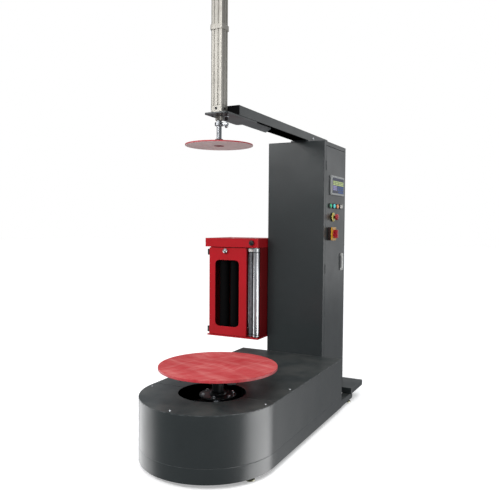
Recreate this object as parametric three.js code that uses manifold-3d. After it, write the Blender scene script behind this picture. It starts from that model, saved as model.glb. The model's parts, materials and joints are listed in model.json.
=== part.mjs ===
// A small turntable stretch wrapper for cartons and luggage: a low base with a round front
// carries the driven turntable, a column at the rear lifts the red film carriage, and an
// arm on the column holds an air cylinder that presses a free-turning disc on the load.
// Millimetres, +Z up. Lengths below are taken from the turntable's axis and the floor; the
// last group moves the machine so that the origin is the middle of its box on the floor.
import * as THREE from "three";
import { mergeVertices } from "three/addons/utils/BufferGeometryUtils.js";
import Module from "manifold-3d";

const wasm = await Module();
wasm.setup();

// ---- driving dimensions ----
const GAP = 0.3; // between pieces that touch
const SHEET = 3; // folded sheet steel

const TABLE_RADIUS = 300;
const TABLE_TOP = 455;
const TABLE_RIM = 14; // height of the table's turned-down edge
const TABLE_PLATE = 6;

const BASE_HALF = 347; // half width, and radius of the round front
const BASE_ROUND_Y = -76; // centre of the round front
const BASE_REAR = 940;
const BASE_FLOOR = 25; // underside of the base, on its levelling feet
const BASE_TOP = 332;
const WELL_RADIUS = 168; // hole in the covers round the table's hub
const COVER_SEAM_Y = -56; // the covers meet on this line, across the middle of the well

const RAIL_OUTER = BASE_HALF - SHEET - 0.5;
const RAIL_WIDTH = 50;
const RAIL_TOP = 62;
const RAIL_END = 1180;

const STABILIZER_HALF = 355;
const STABILIZER_FRONT = 1125;
const STABILIZER_REAR = 1375;
const STABILIZER_TOP = 100;

const COLUMN_LEFT = -170;
const COLUMN_RIGHT = 214;
const COLUMN_FRONT = 943;
const COLUMN_REAR = 1373;
const COLUMN_TOP = 1691;
const FRONT_RETURN = 33; // sides folded back from the front panel
const REAR_RETURN = 15;
const ARM_SEAT = 1701; // top of the pad under the arm

const MAST_X = [-20, 60];
const MAST_Y = [1035, 1115];
const MAST_TOP = 1660;

const LIFT_X = -75; // axis of the lift chain's sprockets
const LIFT_Y = 1091;
const LIFT_LOW = 430;
const LIFT_HIGH = 1600;
const LIFT_SPROCKET = 31;

const ARM_X = [-6, 92];
const ARM_Y = [40, 1345];
const ARM_TOP = 1751;
const ARM_WALL = 4;

const CYLINDER_SIDE = 64;
const CYLINDER_BORE = 25; // radius
const TUBE_BOTTOM = 1745;
const TUBE_TOP = 2600;
const CYLINDER_TOP = 2640;
const ROD_RADIUS = 12.5;
const DISC_RADIUS = 168;
const DISC_BOTTOM = 1549;
const DISC_THICK = 7;

const CARRIAGE_LEFT = -570; // top box
const CARRIAGE_RIGHT = -175;
const CARRIAGE_FRONT = 811;
const CARRIAGE_BACK = 1140;
const CARRIAGE_FLOOR = 421;
const CARRIAGE_BOX = 1014; // underside of the top box
const CARRIAGE_TOP = 1071;

const DOOR_FRONT = COLUMN_FRONT + FRONT_RETURN + 2;
const DOOR_REAR = COLUMN_REAR - REAR_RETURN - 2;
const DOOR_BOTTOM = 104;
const DOOR_TOP = 1661;

// ---- solids ----
// A closed geometry as a solid, turned right side out where its profile ran the other way.
function solidOf(geometry) {
  const bare = geometry.index ? geometry.toNonIndexed() : geometry.clone();
  bare.deleteAttribute("normal");
  bare.deleteAttribute("uv");
  const merged = mergeVertices(bare, 1e-4);
  const vertProperties = merged.attributes.position.array;
  const triVerts = new Uint32Array(merged.index.array);
  const made = new wasm.Manifold(new wasm.Mesh({ numProp: 3, vertProperties, triVerts }));
  if (made.volume() >= 0) return made;
  const turned = triVerts.slice();
  for (let i = 0; i < turned.length; i += 3) turned.set([triVerts[i + 1], triVerts[i]], i);
  return new wasm.Manifold(new wasm.Mesh({ numProp: 3, vertProperties, triVerts: turned }));
}

function block([x0, x1], [y0, y1], [z0, z1]) {
  const shape = new THREE.BoxGeometry(x1 - x0, y1 - y0, z1 - z0);
  shape.translate((x0 + x1) / 2, (y0 + y1) / 2, (z0 + z1) / 2);
  return solidOf(shape);
}

// An outline in plan, pulled up from z0 to z1.
function prism(outline, z0, z1, curveSegments = 8) {
  const shape = new THREE.ExtrudeGeometry(outline, {
    depth: z1 - z0,
    bevelEnabled: false,
    curveSegments,
  });
  shape.translate(0, 0, z0);
  return solidOf(shape);
}

// A profile of [radius, height] points turned about an axis through a centre.
function turned(axis, [x, y, z], profile, segments = 24) {
  const points = profile.map(([radius, height]) => new THREE.Vector2(radius, height));
  const shape = new THREE.LatheGeometry(points, segments);
  if (axis === "z") shape.rotateX(Math.PI / 2);
  if (axis === "x") shape.rotateZ(-Math.PI / 2);
  shape.translate(x, y, z);
  return solidOf(shape);
}

// A round bar between two heights along its axis.
function bar(axis, centre, radius, from, to, segments = 24) {
  return turned(axis, centre, [[0, from], [radius, from], [radius, to], [0, to]], segments);
}

// A round tube between two heights along its axis.
function tube(axis, centre, outer, inner, from, to, segments = 24) {
  const profile = [[inner, from], [outer, from], [outer, to], [inner, to], [inner, from]];
  return turned(axis, centre, profile, segments);
}

function roundedBox([x0, x1], [y0, y1], r) {
  const outline = new THREE.Shape();
  outline.moveTo(x0 + r, y0);
  outline.lineTo(x1 - r, y0);
  outline.absarc(x1 - r, y0 + r, r, -Math.PI / 2, 0, false);
  outline.lineTo(x1, y1 - r);
  outline.absarc(x1 - r, y1 - r, r, 0, Math.PI / 2, false);
  outline.lineTo(x0 + r, y1);
  outline.absarc(x0 + r, y1 - r, r, Math.PI / 2, Math.PI, false);
  outline.lineTo(x0, y0 + r);
  outline.absarc(x0 + r, y0 + r, r, Math.PI, 1.5 * Math.PI, false);
  return outline;
}

function joined(first, ...others) {
  return others.reduce((whole, piece) => whole.add(piece), first);
}

function cut(whole, ...cutters) {
  return cutters.reduce((left, cutter) => left.subtract(cutter), whole);
}

// ---- finishes ----
const charcoal = { color: 0x3d4142, roughness: 0.5, metalness: 0.3 };
const black = { color: 0x151617, roughness: 0.45, metalness: 0.1 };
const carriageRed = { color: 0xb81822, roughness: 0.4, metalness: 0.1 };
const tableRed = { color: 0xc8636a, roughness: 0.6, metalness: 0.1 };
const steel = { color: 0x9a9d9f, roughness: 0.4, metalness: 0.9 };
const chrome = { color: 0xd5d8da, roughness: 0.12, metalness: 1 };
const aluminium = { color: 0xd6d5d1, roughness: 0.32, metalness: 0.8 };
const rubber = { color: 0x1a1a1a, roughness: 0.85, metalness: 0 };
const motorGrey = { color: 0x6d7376, roughness: 0.55, metalness: 0.4 };
const yellow = { color: 0xe0a81a, roughness: 0.45, metalness: 0 };
const signalRed = { color: 0xc01824, roughness: 0.35, metalness: 0 };
const green = { color: 0x1f9a5a, roughness: 0.3, metalness: 0 };
const cyan = { color: 0x35c6c8, roughness: 0.25, metalness: 0 };
const orange = { color: 0xe08a4a, roughness: 0.3, metalness: 0 };
const paleGrey = { color: 0xc9cbc8, roughness: 0.4, metalness: 0.1 };

const machine = new THREE.Group();

function place(name, solid, finish) {
  const { vertProperties, triVerts, numProp } = solid.getMesh();
  const geometry = new THREE.BufferGeometry();
  const positions = new THREE.InterleavedBuffer(vertProperties, numProp);
  geometry.setAttribute("position", new THREE.InterleavedBufferAttribute(positions, 3, 0));
  geometry.setIndex(new THREE.BufferAttribute(triVerts, 1));
  const mesh = new THREE.Mesh(geometry, new THREE.MeshStandardMaterial(finish));
  mesh.name = name;
  machine.add(mesh);
}

// ---- base ----
// The base in plan: straight sides and a half-round front.
function baseOutline(inset, rear) {
  const radius = BASE_HALF - inset;
  const outline = new THREE.Shape();
  outline.moveTo(radius, rear);
  outline.lineTo(-radius, rear);
  outline.lineTo(-radius, BASE_ROUND_Y);
  outline.absarc(0, BASE_ROUND_Y, radius, Math.PI, 2 * Math.PI, false);
  return outline;
}
const ROUND_STEPS = 32;
const COVER_BOTTOM = BASE_TOP - SHEET;
const FLOOR_PLATE_TOP = BASE_FLOOR + 6;

function buildBase() {
  const shell = prism(baseOutline(0, BASE_REAR), BASE_FLOOR, COVER_BOTTOM - GAP, ROUND_STEPS);
  const room = baseOutline(SHEET, BASE_REAR - SHEET);
  const inside = prism(room, BASE_FLOOR - 1, COVER_BOTTOM + 1, ROUND_STEPS);
  // The chassis rails leave through two notches in the rear wall.
  const notch = (side) => {
    const x = [RAIL_OUTER - RAIL_WIDTH - 1, RAIL_OUTER + 0.4].map((edge) => edge * side);
    x.sort((a, b) => a - b);
    return block(x, [BASE_REAR - 10, BASE_REAR + 5], [BASE_FLOOR - 1, RAIL_TOP + 1]);
  };
  const seat = block([COLUMN_LEFT - 1, COLUMN_RIGHT + 1], [900, 950], [20, STABILIZER_TOP + 1]);
  const sill = block([-260, 260], [BASE_REAR - 10, BASE_REAR + 5], [20, FLOOR_PLATE_TOP + GAP]);
  place("base_skirt", cut(shell, inside, notch(1), notch(-1), seat, sill), charcoal);

  const lid = prism(baseOutline(0, BASE_REAR), COVER_BOTTOM, BASE_TOP, ROUND_STEPS);
  const well = bar("z", [0, COVER_SEAM_Y, 0], WELL_RADIUS, COVER_BOTTOM - 5, BASE_TOP + 5, 48);
  const reach = [-500, 500];
  const level = [COVER_BOTTOM - 5, BASE_TOP + 5];
  const rearHalf = block(reach, [COVER_SEAM_Y - 0.5, 1500], level);
  const frontHalf = block(reach, [-900, COVER_SEAM_Y + 0.5], level);
  place("front_cover", cut(lid, rearHalf, well), charcoal);
  place("rear_cover", cut(lid, frontHalf, well), charcoal);
}

// Welded frame inside the base: floor plate, two box rails to the rear and the column's seat.
function buildChassis() {
  const floor = prism(baseOutline(SHEET + 1, RAIL_END), BASE_FLOOR, FLOOR_PLATE_TOP, ROUND_STEPS);
  const behind = [BASE_REAR - 20, 1400];
  const trim = (x) => block(x, behind, [0, 100]);
  const plate = cut(floor, trim([-400, -250]), trim([250, 400]));
  const rails = [-1, 1].map((side) => {
    const edges = [RAIL_OUTER - RAIL_WIDTH, RAIL_OUTER].map((edge) => edge * side);
    const x = edges.sort((a, b) => a - b);
    const outer = block(x, [250, RAIL_END], [BASE_FLOOR, RAIL_TOP]);
    const bore = block([x[0] + 3, x[1] - 3], [240, RAIL_END + 10], [BASE_FLOOR + 3, RAIL_TOP - 3]);
    return { outer, bore };
  });
  const seatY = [COLUMN_FRONT - 12, STABILIZER_FRONT - 1];
  const seatX = [COLUMN_LEFT, COLUMN_RIGHT];
  const seat = block(seatX, seatY, [BASE_FLOOR, STABILIZER_TOP]);
  const seatBore = block(
    [seatX[0] - 10, seatX[1] + 10],
    [seatY[0] + 5, seatY[1] - 5],
    [FLOOR_PLATE_TOP, STABILIZER_TOP - 6],
  );
  const frame = joined(plate, rails[0].outer, rails[1].outer, seat);
  place("chassis_frame", cut(frame, rails[0].bore, rails[1].bore, seatBore), charcoal);
}

// Folded outrigger under the rear of the column, open below.
function buildStabilizer() {
  const bottom = RAIL_TOP + GAP;
  const outer = block(
    [-STABILIZER_HALF, STABILIZER_HALF],
    [STABILIZER_FRONT, STABILIZER_REAR],
    [bottom, STABILIZER_TOP],
  );
  const inner = block(
    [5 - STABILIZER_HALF, STABILIZER_HALF - 5],
    [STABILIZER_FRONT + 5, STABILIZER_REAR - 5],
    [bottom - 5, STABILIZER_TOP - 5],
  );
  place("rear_stabilizer", cut(outer, inner), charcoal);
}

// Levelling feet: a pad on a ball neck with a locked nut, under the frame's plate and rails.
const FEET = {
  foot_front: [0, -320],
  foot_left_side: [-282, -193],
  foot_right_side: [282, -193],
  foot_rear_left: [-318, 1152],
  foot_rear_right: [318, 1152],
};
function buildFeet() {
  const top = BASE_FLOOR - GAP;
  const profile = [[0, 0], [22, 0], [22, 6], [12, 10], [8, 11], [8, 16], [14, 16], [14, top], [0, top]];
  for (const [name, [x, y]] of Object.entries(FEET)) {
    place(name, turned("z", [x, y, 0], profile, 14), steel);
  }
}

// ---- turntable and its drive ----
const HUB_BEARING_TOP = 236;
const CHAIN_LEVEL = [252, 262];
const TABLE_SPROCKET = 120;
const DRIVE_SPROCKET = 44;
const DRIVE_Y = 420;

// A sprocket in plan, with a tooth for each step round its rim.
function sprocketOutline(x, y, tip, depth, teeth) {
  const outline = new THREE.Shape();
  for (let i = 0; i < teeth; i += 1) {
    for (const [share, radius] of [[0, tip - depth], [0.3, tip - depth], [0.5, tip], [0.8, tip]]) {
      const angle = ((i + share) / teeth) * 2 * Math.PI;
      const point = [x + radius * Math.cos(angle), y + radius * Math.sin(angle)];
      if (i === 0 && share === 0) outline.moveTo(...point);
      else outline.lineTo(...point);
    }
  }
  outline.closePath();
  return outline;
}

// A belt's outline round two wheels of radii r0 and r1 whose centres lie on the +Y line.
function beltOutline(r0, r1, distance) {
  const lean = Math.asin((r0 - r1) / distance);
  const outline = new THREE.Shape();
  outline.absarc(0, 0, r0, Math.PI - lean, 2 * Math.PI + lean, false);
  outline.absarc(0, distance, r1, lean, Math.PI - lean, false);
  outline.closePath();
  return outline;
}

function buildTurntable() {
  const bottom = TABLE_TOP - TABLE_RIM;
  const profile = [
    [0, TABLE_TOP - TABLE_PLATE],
    [TABLE_RADIUS - 6, TABLE_TOP - TABLE_PLATE],
    [TABLE_RADIUS - 6, bottom],
    [TABLE_RADIUS - 1, bottom],
    [TABLE_RADIUS, bottom + 2],
    [TABLE_RADIUS, TABLE_TOP - 3],
    [TABLE_RADIUS - 3, TABLE_TOP],
    [0, TABLE_TOP],
  ];
  place("turntable_plate", turned("z", [0, 0, 0], profile, 72), tableRed);

  // Spider: a flanged neck with six bars that carry the plate.
  const under = TABLE_TOP - TABLE_PLATE - GAP;
  const hub = turned("z", [0, 0, 0], [
    [0, 300], [92, 300], [95, 303], [95, 307], [92, 310], [44, 310], [40, 317], [30, 321],
    [30, 388], [70, 400], [74, 404], [74, under], [0, under],
  ]);
  const spokes = [];
  for (let i = 0; i < 6; i += 1) {
    const spoke = block([40, 262], [-19, 19], [under - 26, under]);
    spokes.push(spoke.rotate([0, 0, 60 * i + 14]));
  }
  place("turntable_spider", joined(hub, ...spokes), steel);

  const neck = 300 - GAP;
  const shaft = turned("z", [0, 0, 0], [
    [0, 44], [22, 44], [22, CHAIN_LEVEL[0] - 8], [34, CHAIN_LEVEL[0] - 8],
    [34, CHAIN_LEVEL[0] - GAP], [26, CHAIN_LEVEL[0] - GAP], [26, neck], [0, neck],
  ]);
  place("turntable_shaft", shaft, steel);
  const ringPlan = prism(sprocketOutline(0, 0, TABLE_SPROCKET, 6, 32), ...CHAIN_LEVEL);
  const bore = bar("z", [0, 0, 0], 26.6, 200, 300, 32);
  place("turntable_sprocket", cut(ringPlan, bore), steel);

  const housing = turned("z", [0, 0, 0], [
    [22.6, FLOOR_PLATE_TOP + GAP], [95, FLOOR_PLATE_TOP + GAP], [95, 45], [58, 50],
    [50, HUB_BEARING_TOP - 40], [62, HUB_BEARING_TOP - 34], [62, HUB_BEARING_TOP],
    [22.6, HUB_BEARING_TOP], [22.6, FLOOR_PLATE_TOP + GAP],
  ]);
  place("turntable_bearing_housing", housing, motorGrey);
}

function buildTurntableDrive() {
  const feet = block([-80, 80], [DRIVE_Y - 75, DRIVE_Y + 75], [FLOOR_PLATE_TOP + GAP, 41]);
  const gearbox = block([-58, 58], [DRIVE_Y - 58, DRIVE_Y + 58], [41, 236]);
  const motor = bar("y", [0, 0, 130], 62, DRIVE_Y + 50, DRIVE_Y + 260, 28);
  const terminal = block([-30, 30], [DRIVE_Y + 100, DRIVE_Y + 180], [180, 214]);
  const bore = bar("z", [0, DRIVE_Y, 0], 13, 150, 260, 24);
  const whole = joined(feet, gearbox, motor, terminal);
  place("turntable_gearmotor", cut(whole, bore), motorGrey);

  const shaft = bar("z", [0, DRIVE_Y, 0], 12.3, 160, 266, 24);
  const wheel = prism(sprocketOutline(0, DRIVE_Y, DRIVE_SPROCKET, 6, 15), ...CHAIN_LEVEL);
  place("drive_sprocket", joined(shaft, wheel), steel);

  const level = [CHAIN_LEVEL[0] + 1, CHAIN_LEVEL[1] - 1];
  const slack = 1.2;
  const thick = 7;
  const outer = prism(
    beltOutline(TABLE_SPROCKET + slack + thick, DRIVE_SPROCKET + slack + thick, DRIVE_Y),
    ...level,
  );
  const inner = prism(
    beltOutline(TABLE_SPROCKET + slack, DRIVE_SPROCKET + slack, DRIVE_Y),
    level[0] - 2,
    level[1] + 2,
  );
  place("drive_chain", cut(outer, inner), steel);
}

// ---- column ----
function buildColumn() {
  const z = [STABILIZER_TOP + GAP, COLUMN_TOP - SHEET];
  const width = [COLUMN_LEFT, COLUMN_RIGHT];
  const innerWidth = [COLUMN_LEFT + SHEET, COLUMN_RIGHT - SHEET];
  const frontFold = [COLUMN_FRONT, COLUMN_FRONT + FRONT_RETURN];
  const frontSheet = cut(
    block(width, frontFold, z),
    block(innerWidth, [COLUMN_FRONT + SHEET, frontFold[1] + 5], [0, 2000]),
  );
  place("column_front_panel", frontSheet, charcoal);

  const rearFold = [COLUMN_REAR - REAR_RETURN, COLUMN_REAR];
  const rearSheet = cut(
    block(width, rearFold, z),
    block(innerWidth, [rearFold[0] - 5, COLUMN_REAR - SHEET], [0, 2000]),
  );
  place("column_rear_panel", rearSheet, charcoal);

  // The carriage's bracket travels in the left panel's slot.
  const left = block(
    [COLUMN_LEFT, COLUMN_LEFT + SHEET],
    [frontFold[1] + GAP, rearFold[0] - GAP],
    z,
  );
  const slot = block([COLUMN_LEFT - 5, COLUMN_LEFT + 8], [1055, 1095], [520, 1530]);
  place("column_left_panel", cut(left, slot), charcoal);

  // Lid with a short fall on the right over the door, and the pad that the arm stands on.
  const lid = block(width, [COLUMN_FRONT, COLUMN_REAR], [COLUMN_TOP - SHEET + GAP, COLUMN_TOP]);
  const fall = block(
    [COLUMN_RIGHT - SHEET, COLUMN_RIGHT],
    [frontFold[1] + GAP, rearFold[0] - GAP],
    [DOOR_TOP + 3, COLUMN_TOP - 1],
  );
  const pad = block([ARM_X[0] - 10, ARM_X[1] + 10], [COLUMN_FRONT + 6, 1360], [1690, ARM_SEAT]);
  place("column_top_cap", joined(lid, fall, pad), charcoal);

  const mast = block(MAST_X, MAST_Y, [STABILIZER_TOP + GAP, MAST_TOP]);
  const bore = block(
    [MAST_X[0] + 5, MAST_X[1] - 5],
    [MAST_Y[0] + 5, MAST_Y[1] - 5],
    [0, 2000],
  );
  const lug = block([LIFT_X - 12, MAST_X[0] + 1], [1101, 1107], [LIFT_HIGH - 12, LIFT_HIGH + 12]);
  const pin = bar("y", [LIFT_X, 0, LIFT_HIGH], 6, LIFT_Y - 7, 1102, 24);
  place("mast", joined(cut(mast, bore), lug, pin), steel);
}

// Chain lift: an idler on the mast's pin, a driven sprocket on the gearmotor, and the chain.
function buildLift() {
  const width = [LIFT_Y - 5, LIFT_Y + 5];
  const flat = (outline) => prism(outline, ...width);
  // Outlines are drawn in plan and stood up so that their thickness runs along Y.
  const stand = (solid) => solid.rotate([90, 0, 0]).translate([0, 2 * LIFT_Y, 0]);
  const wheel = (z) => stand(flat(sprocketOutline(LIFT_X, z, LIFT_SPROCKET, 5, 13)));
  const bore = bar("y", [LIFT_X, 0, LIFT_HIGH], 6.4, LIFT_Y - 20, LIFT_Y + 20, 24);
  place("lift_idler_sprocket", cut(wheel(LIFT_HIGH), bore), steel);

  const shaft = bar("y", [LIFT_X, 0, LIFT_LOW], 8, LIFT_Y - 8, 1130, 24);
  place("lift_drive_sprocket", joined(wheel(LIFT_LOW), shaft), steel);

  const gearbox = block([LIFT_X - 45, LIFT_X + 45], [1103, 1193], [LIFT_LOW - 45, LIFT_LOW + 45]);
  const motor = bar("y", [LIFT_X, 0, LIFT_LOW], 50, 1190, 1340, 28);
  const tie = block([-35, MAST_X[0] - GAP], [1103, 1140], [LIFT_LOW - 45, LIFT_LOW + 45]);
  const seat = bar("y", [LIFT_X, 0, LIFT_LOW], 8.6, 1090, 1140, 24);
  place("lift_gearmotor", cut(joined(gearbox, motor, tie), seat), motorGrey);

  const span = LIFT_HIGH - LIFT_LOW;
  const loop = (radius, from, to) => {
    const solid = prism(beltOutline(radius, radius, span), from, to, 14);
    return solid.translate([LIFT_X, LIFT_LOW, 0]);
  };
  const outer = loop(LIFT_SPROCKET + 7, width[0] + 1, width[1] - 1);
  const inner = loop(LIFT_SPROCKET + 0.9, width[0] - 5, width[1] + 5);
  place("lift_chain", stand(cut(outer, inner)), steel);
}

// ---- column door and its controls ----
const FACE = COLUMN_RIGHT + GAP;
const BUTTON_Z = 1286;
const BUTTONS = {
  start_button: [1052, green],
  reset_button: [1122, cyan],
  stop_button: [1190, orange],
};
const SELECTOR_Y = 1258;
const ESTOP = [1110, 1214];
const MAIN_SWITCH = [1072, 1106];
const HANDLE = [1296, 914];

function buildDoor() {
  const sheet = block(
    [COLUMN_RIGHT - SHEET, COLUMN_RIGHT],
    [DOOR_FRONT, DOOR_REAR],
    [DOOR_BOTTOM, DOOR_TOP],
  );
  const fold = 12;
  const rim = block(
    [COLUMN_RIGHT - fold, COLUMN_RIGHT - 1],
    [DOOR_FRONT, DOOR_REAR],
    [DOOR_BOTTOM, DOOR_TOP],
  );
  const room = block(
    [0, COLUMN_RIGHT - SHEET],
    [DOOR_FRONT + 2, DOOR_REAR - 2],
    [DOOR_BOTTOM + 2, DOOR_TOP - 2],
  );
  const stem = (y, z, radius) => bar("x", [0, y, z], radius, 190, 230, 16);
  const stems = Object.values(BUTTONS).map(([y]) => stem(y, BUTTON_Z, 11));
  const holes = [
    ...stems,
    stem(SELECTOR_Y, BUTTON_Z, 11),
    stem(...ESTOP, 11),
  ];
  place("column_door", cut(joined(sheet, cut(rim, room)), ...holes), charcoal);

  const panel = block([FACE, FACE + 12], [1058, 1312], [1358, 1482]);
  place("operator_panel", panel, paleGrey);

  for (const [name, [y, finish]] of Object.entries(BUTTONS)) {
    const profile = [[0, 200], [8, 200], [8, FACE + 6], [13, FACE + 6], [13, FACE + 14], [0, FACE + 14]];
    place(name, turned("x", [0, y, BUTTON_Z], profile, 16), finish);
  }
  const knob = turned("x", [0, SELECTOR_Y, BUTTON_Z], [
    [0, 200], [8, 200], [8, FACE], [13, FACE], [13, FACE + 9], [0, FACE + 9],
  ], 16);
  const grip = block([FACE + 8, FACE + 20], [SELECTOR_Y - 4, SELECTOR_Y + 4], [1274, 1298]);
  place("selector_switch", joined(knob, grip), paleGrey);

  const mushroom = turned("x", [0, ...ESTOP], [
    [0, 196], [8, 196], [8, FACE + 14], [11, FACE + 20], [20, FACE + 24],
    [20, FACE + 34], [15, FACE + 40], [0, FACE + 42],
  ], 24);
  place("emergency_stop", mushroom, signalRed);

  const [mainY, mainZ] = MAIN_SWITCH;
  const depth = FACE + 26;
  const plate = block([FACE, depth], [mainY - 43, mainY + 43], [mainZ - 42, mainZ + 42]);
  const seat = bar("x", [0, mainY, mainZ], 8.6, depth - 16, depth + 20, 20);
  place("main_switch_base", cut(plate, seat), yellow);
  const dial = turned("x", [0, mainY, mainZ], [
    [0, depth - 14], [8, depth - 14], [8, depth + 1], [27, depth + 1], [27, depth + 8], [0, depth + 8],
  ], 28);
  const lever = block([depth + 7, depth + 26], [mainY - 8, mainY + 8], [mainZ - 26, mainZ + 26]);
  place("main_switch_handle", joined(dial, lever), signalRed);

  const [handleY, handleZ] = HANDLE;
  const grab = block([FACE, FACE + 14], [handleY - 11, handleY + 11], [handleZ - 58, handleZ + 58]);
  place("door_handle", grab, paleGrey);
}

// ---- arm, air cylinder and press disc ----
const PLATE_TOP = ARM_SEAT;
const PLATE_BOTTOM = 1693;
const NOSE_BOTTOM = 1674;

function buildArm() {
  const outer = block(ARM_X, ARM_Y, [ARM_SEAT + GAP, ARM_TOP]);
  const inner = block(
    [ARM_X[0] + ARM_WALL, ARM_X[1] - ARM_WALL],
    [ARM_Y[0] + ARM_WALL, ARM_Y[1] - ARM_WALL],
    [ARM_SEAT - 10, ARM_TOP - ARM_WALL],
  );
  place("arm_channel", cut(outer, inner), charcoal);

  // The cylinder's plate runs back under the arm and closes the front half of its channel.
  const head = prism(roundedBox([-38, ARM_X[1] - 2], [-84, 252], 14), PLATE_BOTTOM, PLATE_TOP);
  const [tailLeft, tailRight] = [ARM_X[0] + 2, ARM_X[1] - 14];
  const tailPlan = new THREE.Shape();
  tailPlan.moveTo(tailLeft, 200);
  tailPlan.lineTo(tailRight, 200);
  tailPlan.lineTo(tailRight, 440);
  tailPlan.lineTo(tailLeft, 545);
  tailPlan.closePath();
  const tail = prism(tailPlan, PLATE_BOTTOM, PLATE_TOP);
  const hole = bar("z", [0, 0, 0], 21, PLATE_BOTTOM - 5, PLATE_TOP + 5, 32);
  place("cylinder_mount_plate", cut(joined(head, tail), hole), charcoal);
}

// The tube in plan: a square with round corners and two sensor grooves in each face.
function tubeOutline() {
  const half = CYLINDER_SIDE / 2;
  const corner = 9;
  const outline = new THREE.Shape();
  const side = [
    [-14, 0], [-14, 4], [-8, 4], [-8, 0], [8, 0], [8, 4], [14, 4], [14, 0],
  ];
  for (let turn = 0; turn < 4; turn += 1) {
    const angle = (turn * Math.PI) / 2;
    const spin = (x, y) => [
      x * Math.cos(angle) - y * Math.sin(angle),
      x * Math.sin(angle) + y * Math.cos(angle),
    ];
    const start = spin(corner - half, -half);
    if (turn === 0) outline.moveTo(...start);
    else outline.lineTo(...start);
    for (const [along, deep] of side) outline.lineTo(...spin(along, deep - half));
    outline.lineTo(...spin(half - corner, -half));
    const centre = spin(half - corner, corner - half);
    outline.absarc(...centre, corner, angle - Math.PI / 2, angle, false);
  }
  return outline;
}

function buildCylinder() {
  const half = CYLINDER_SIDE / 2;
  const square = roundedBox([-half, half], [-half, half], 7);
  const rodHole = bar("z", [0, 0, 0], ROD_RADIUS + 0.5, 1600, 1800, 32);
  const front = prism(square, PLATE_TOP + GAP, TUBE_BOTTOM - GAP, 5);
  const nose = bar("z", [0, 0, 0], 19, NOSE_BOTTOM, PLATE_TOP + 5, 32);
  place("cylinder_front_cap", cut(joined(front, nose), rodHole), aluminium);

  const profile = prism(tubeOutline(), TUBE_BOTTOM, TUBE_TOP, 4);
  const bore = bar("z", [0, 0, 0], CYLINDER_BORE, TUBE_BOTTOM - 5, TUBE_TOP + 5, 32);
  place("cylinder_tube", cut(profile, bore), aluminium);

  const clamp = prism(roundedBox([-half - 4, half + 4], [-half - 4, half + 4], 11), 2112, 2136, 4);
  const room = half + GAP;
  const inside = prism(roundedBox([-room, room], [-room, room], 7), 2100, 2150, 4);
  place("cylinder_band", cut(clamp, inside), aluminium);
  place("cylinder_rear_cap", prism(square, TUBE_TOP + GAP, CYLINDER_TOP, 5), aluminium);

  const rod = turned("z", [0, 0, 0], [
    [0, 1564], [ROD_RADIUS, 1564], [ROD_RADIUS, 2560], [CYLINDER_BORE - 0.6, 2560],
    [CYLINDER_BORE - 0.6, 2588], [0, 2588],
  ], 32);
  place("press_rod", rod, chrome);

  // Clamp on the rod whose finger meets the switch under the plate when the disc is home.
  const ring = tube("z", [0, 0, 0], 22, ROD_RADIUS + GAP, 1648, 1664);
  const finger = block([18, 50], [-8, 8], [1650, 1660]);
  const stud = turned("z", [41, 0, 0], [[0, 1636], [6, 1636], [9, 1642], [9, 1648], [5, 1650],
    [5, 1668], [0, 1668]], 16);
  place("rod_clamp", joined(ring, finger, stud), steel);
  const body = bar("z", [41, 0, 0], 9, 1671, PLATE_BOTTOM - GAP, 16);
  place("home_switch", body, black);
}

function buildPressDisc() {
  const top = DISC_BOTTOM + DISC_THICK;
  const disc = turned("z", [0, 0, 0], [
    [26, DISC_BOTTOM], [DISC_RADIUS - 2, DISC_BOTTOM], [DISC_RADIUS, DISC_BOTTOM + 2],
    [DISC_RADIUS, top], [26, top], [26, DISC_BOTTOM],
  ], 56);
  place("press_disc", disc, tableRed);

  const seat = top + GAP;
  const hub = turned("z", [0, 0, 0], [
    [ROD_RADIUS + 0.5, seat], [62, seat], [62, seat + 4], [42, seat + 5], [40, seat + 9],
    [20, seat + 20], [20, seat + 26], [ROD_RADIUS + 0.5, seat + 26], [ROD_RADIUS + 0.5, seat],
  ]);
  const studs = [];
  for (let i = 0; i < 4; i += 1) {
    const angle = (i * Math.PI) / 2 + Math.PI / 6;
    const centre = [56 * Math.cos(angle), 56 * Math.sin(angle), 0];
    studs.push(bar("z", centre, 3.5, seat + 2, seat + 22, 10));
  }
  place("press_disc_hub", joined(hub, ...studs), charcoal);
}

// ---- film carriage ----
const SHELL_LEFT = -541;
const SHELL_FRONT = 832;
const FLOOR_TOP = CARRIAGE_FLOOR + 9;
const BRACKET_Z = [600, 900];
const ROLLERS = {
  stretch_roller_left: { at: [-452, 866], radius: 31, finish: rubber },
  stretch_roller_right: { at: [-372, 866], radius: 31, finish: rubber },
  exit_roller: { at: [-200, 834], radius: 21, finish: chrome },
  idler_roller: { at: [-244, 848], radius: 19, finish: steel },
};
const GEAR_TEETH = 18;
const GEAR_Z = [CARRIAGE_BOX + 10, CARRIAGE_BOX + 26];
const MANDREL = [-400, 1012];
const FILM_DOOR = { x: [-538, -262], z: [433, 1009] };

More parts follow.
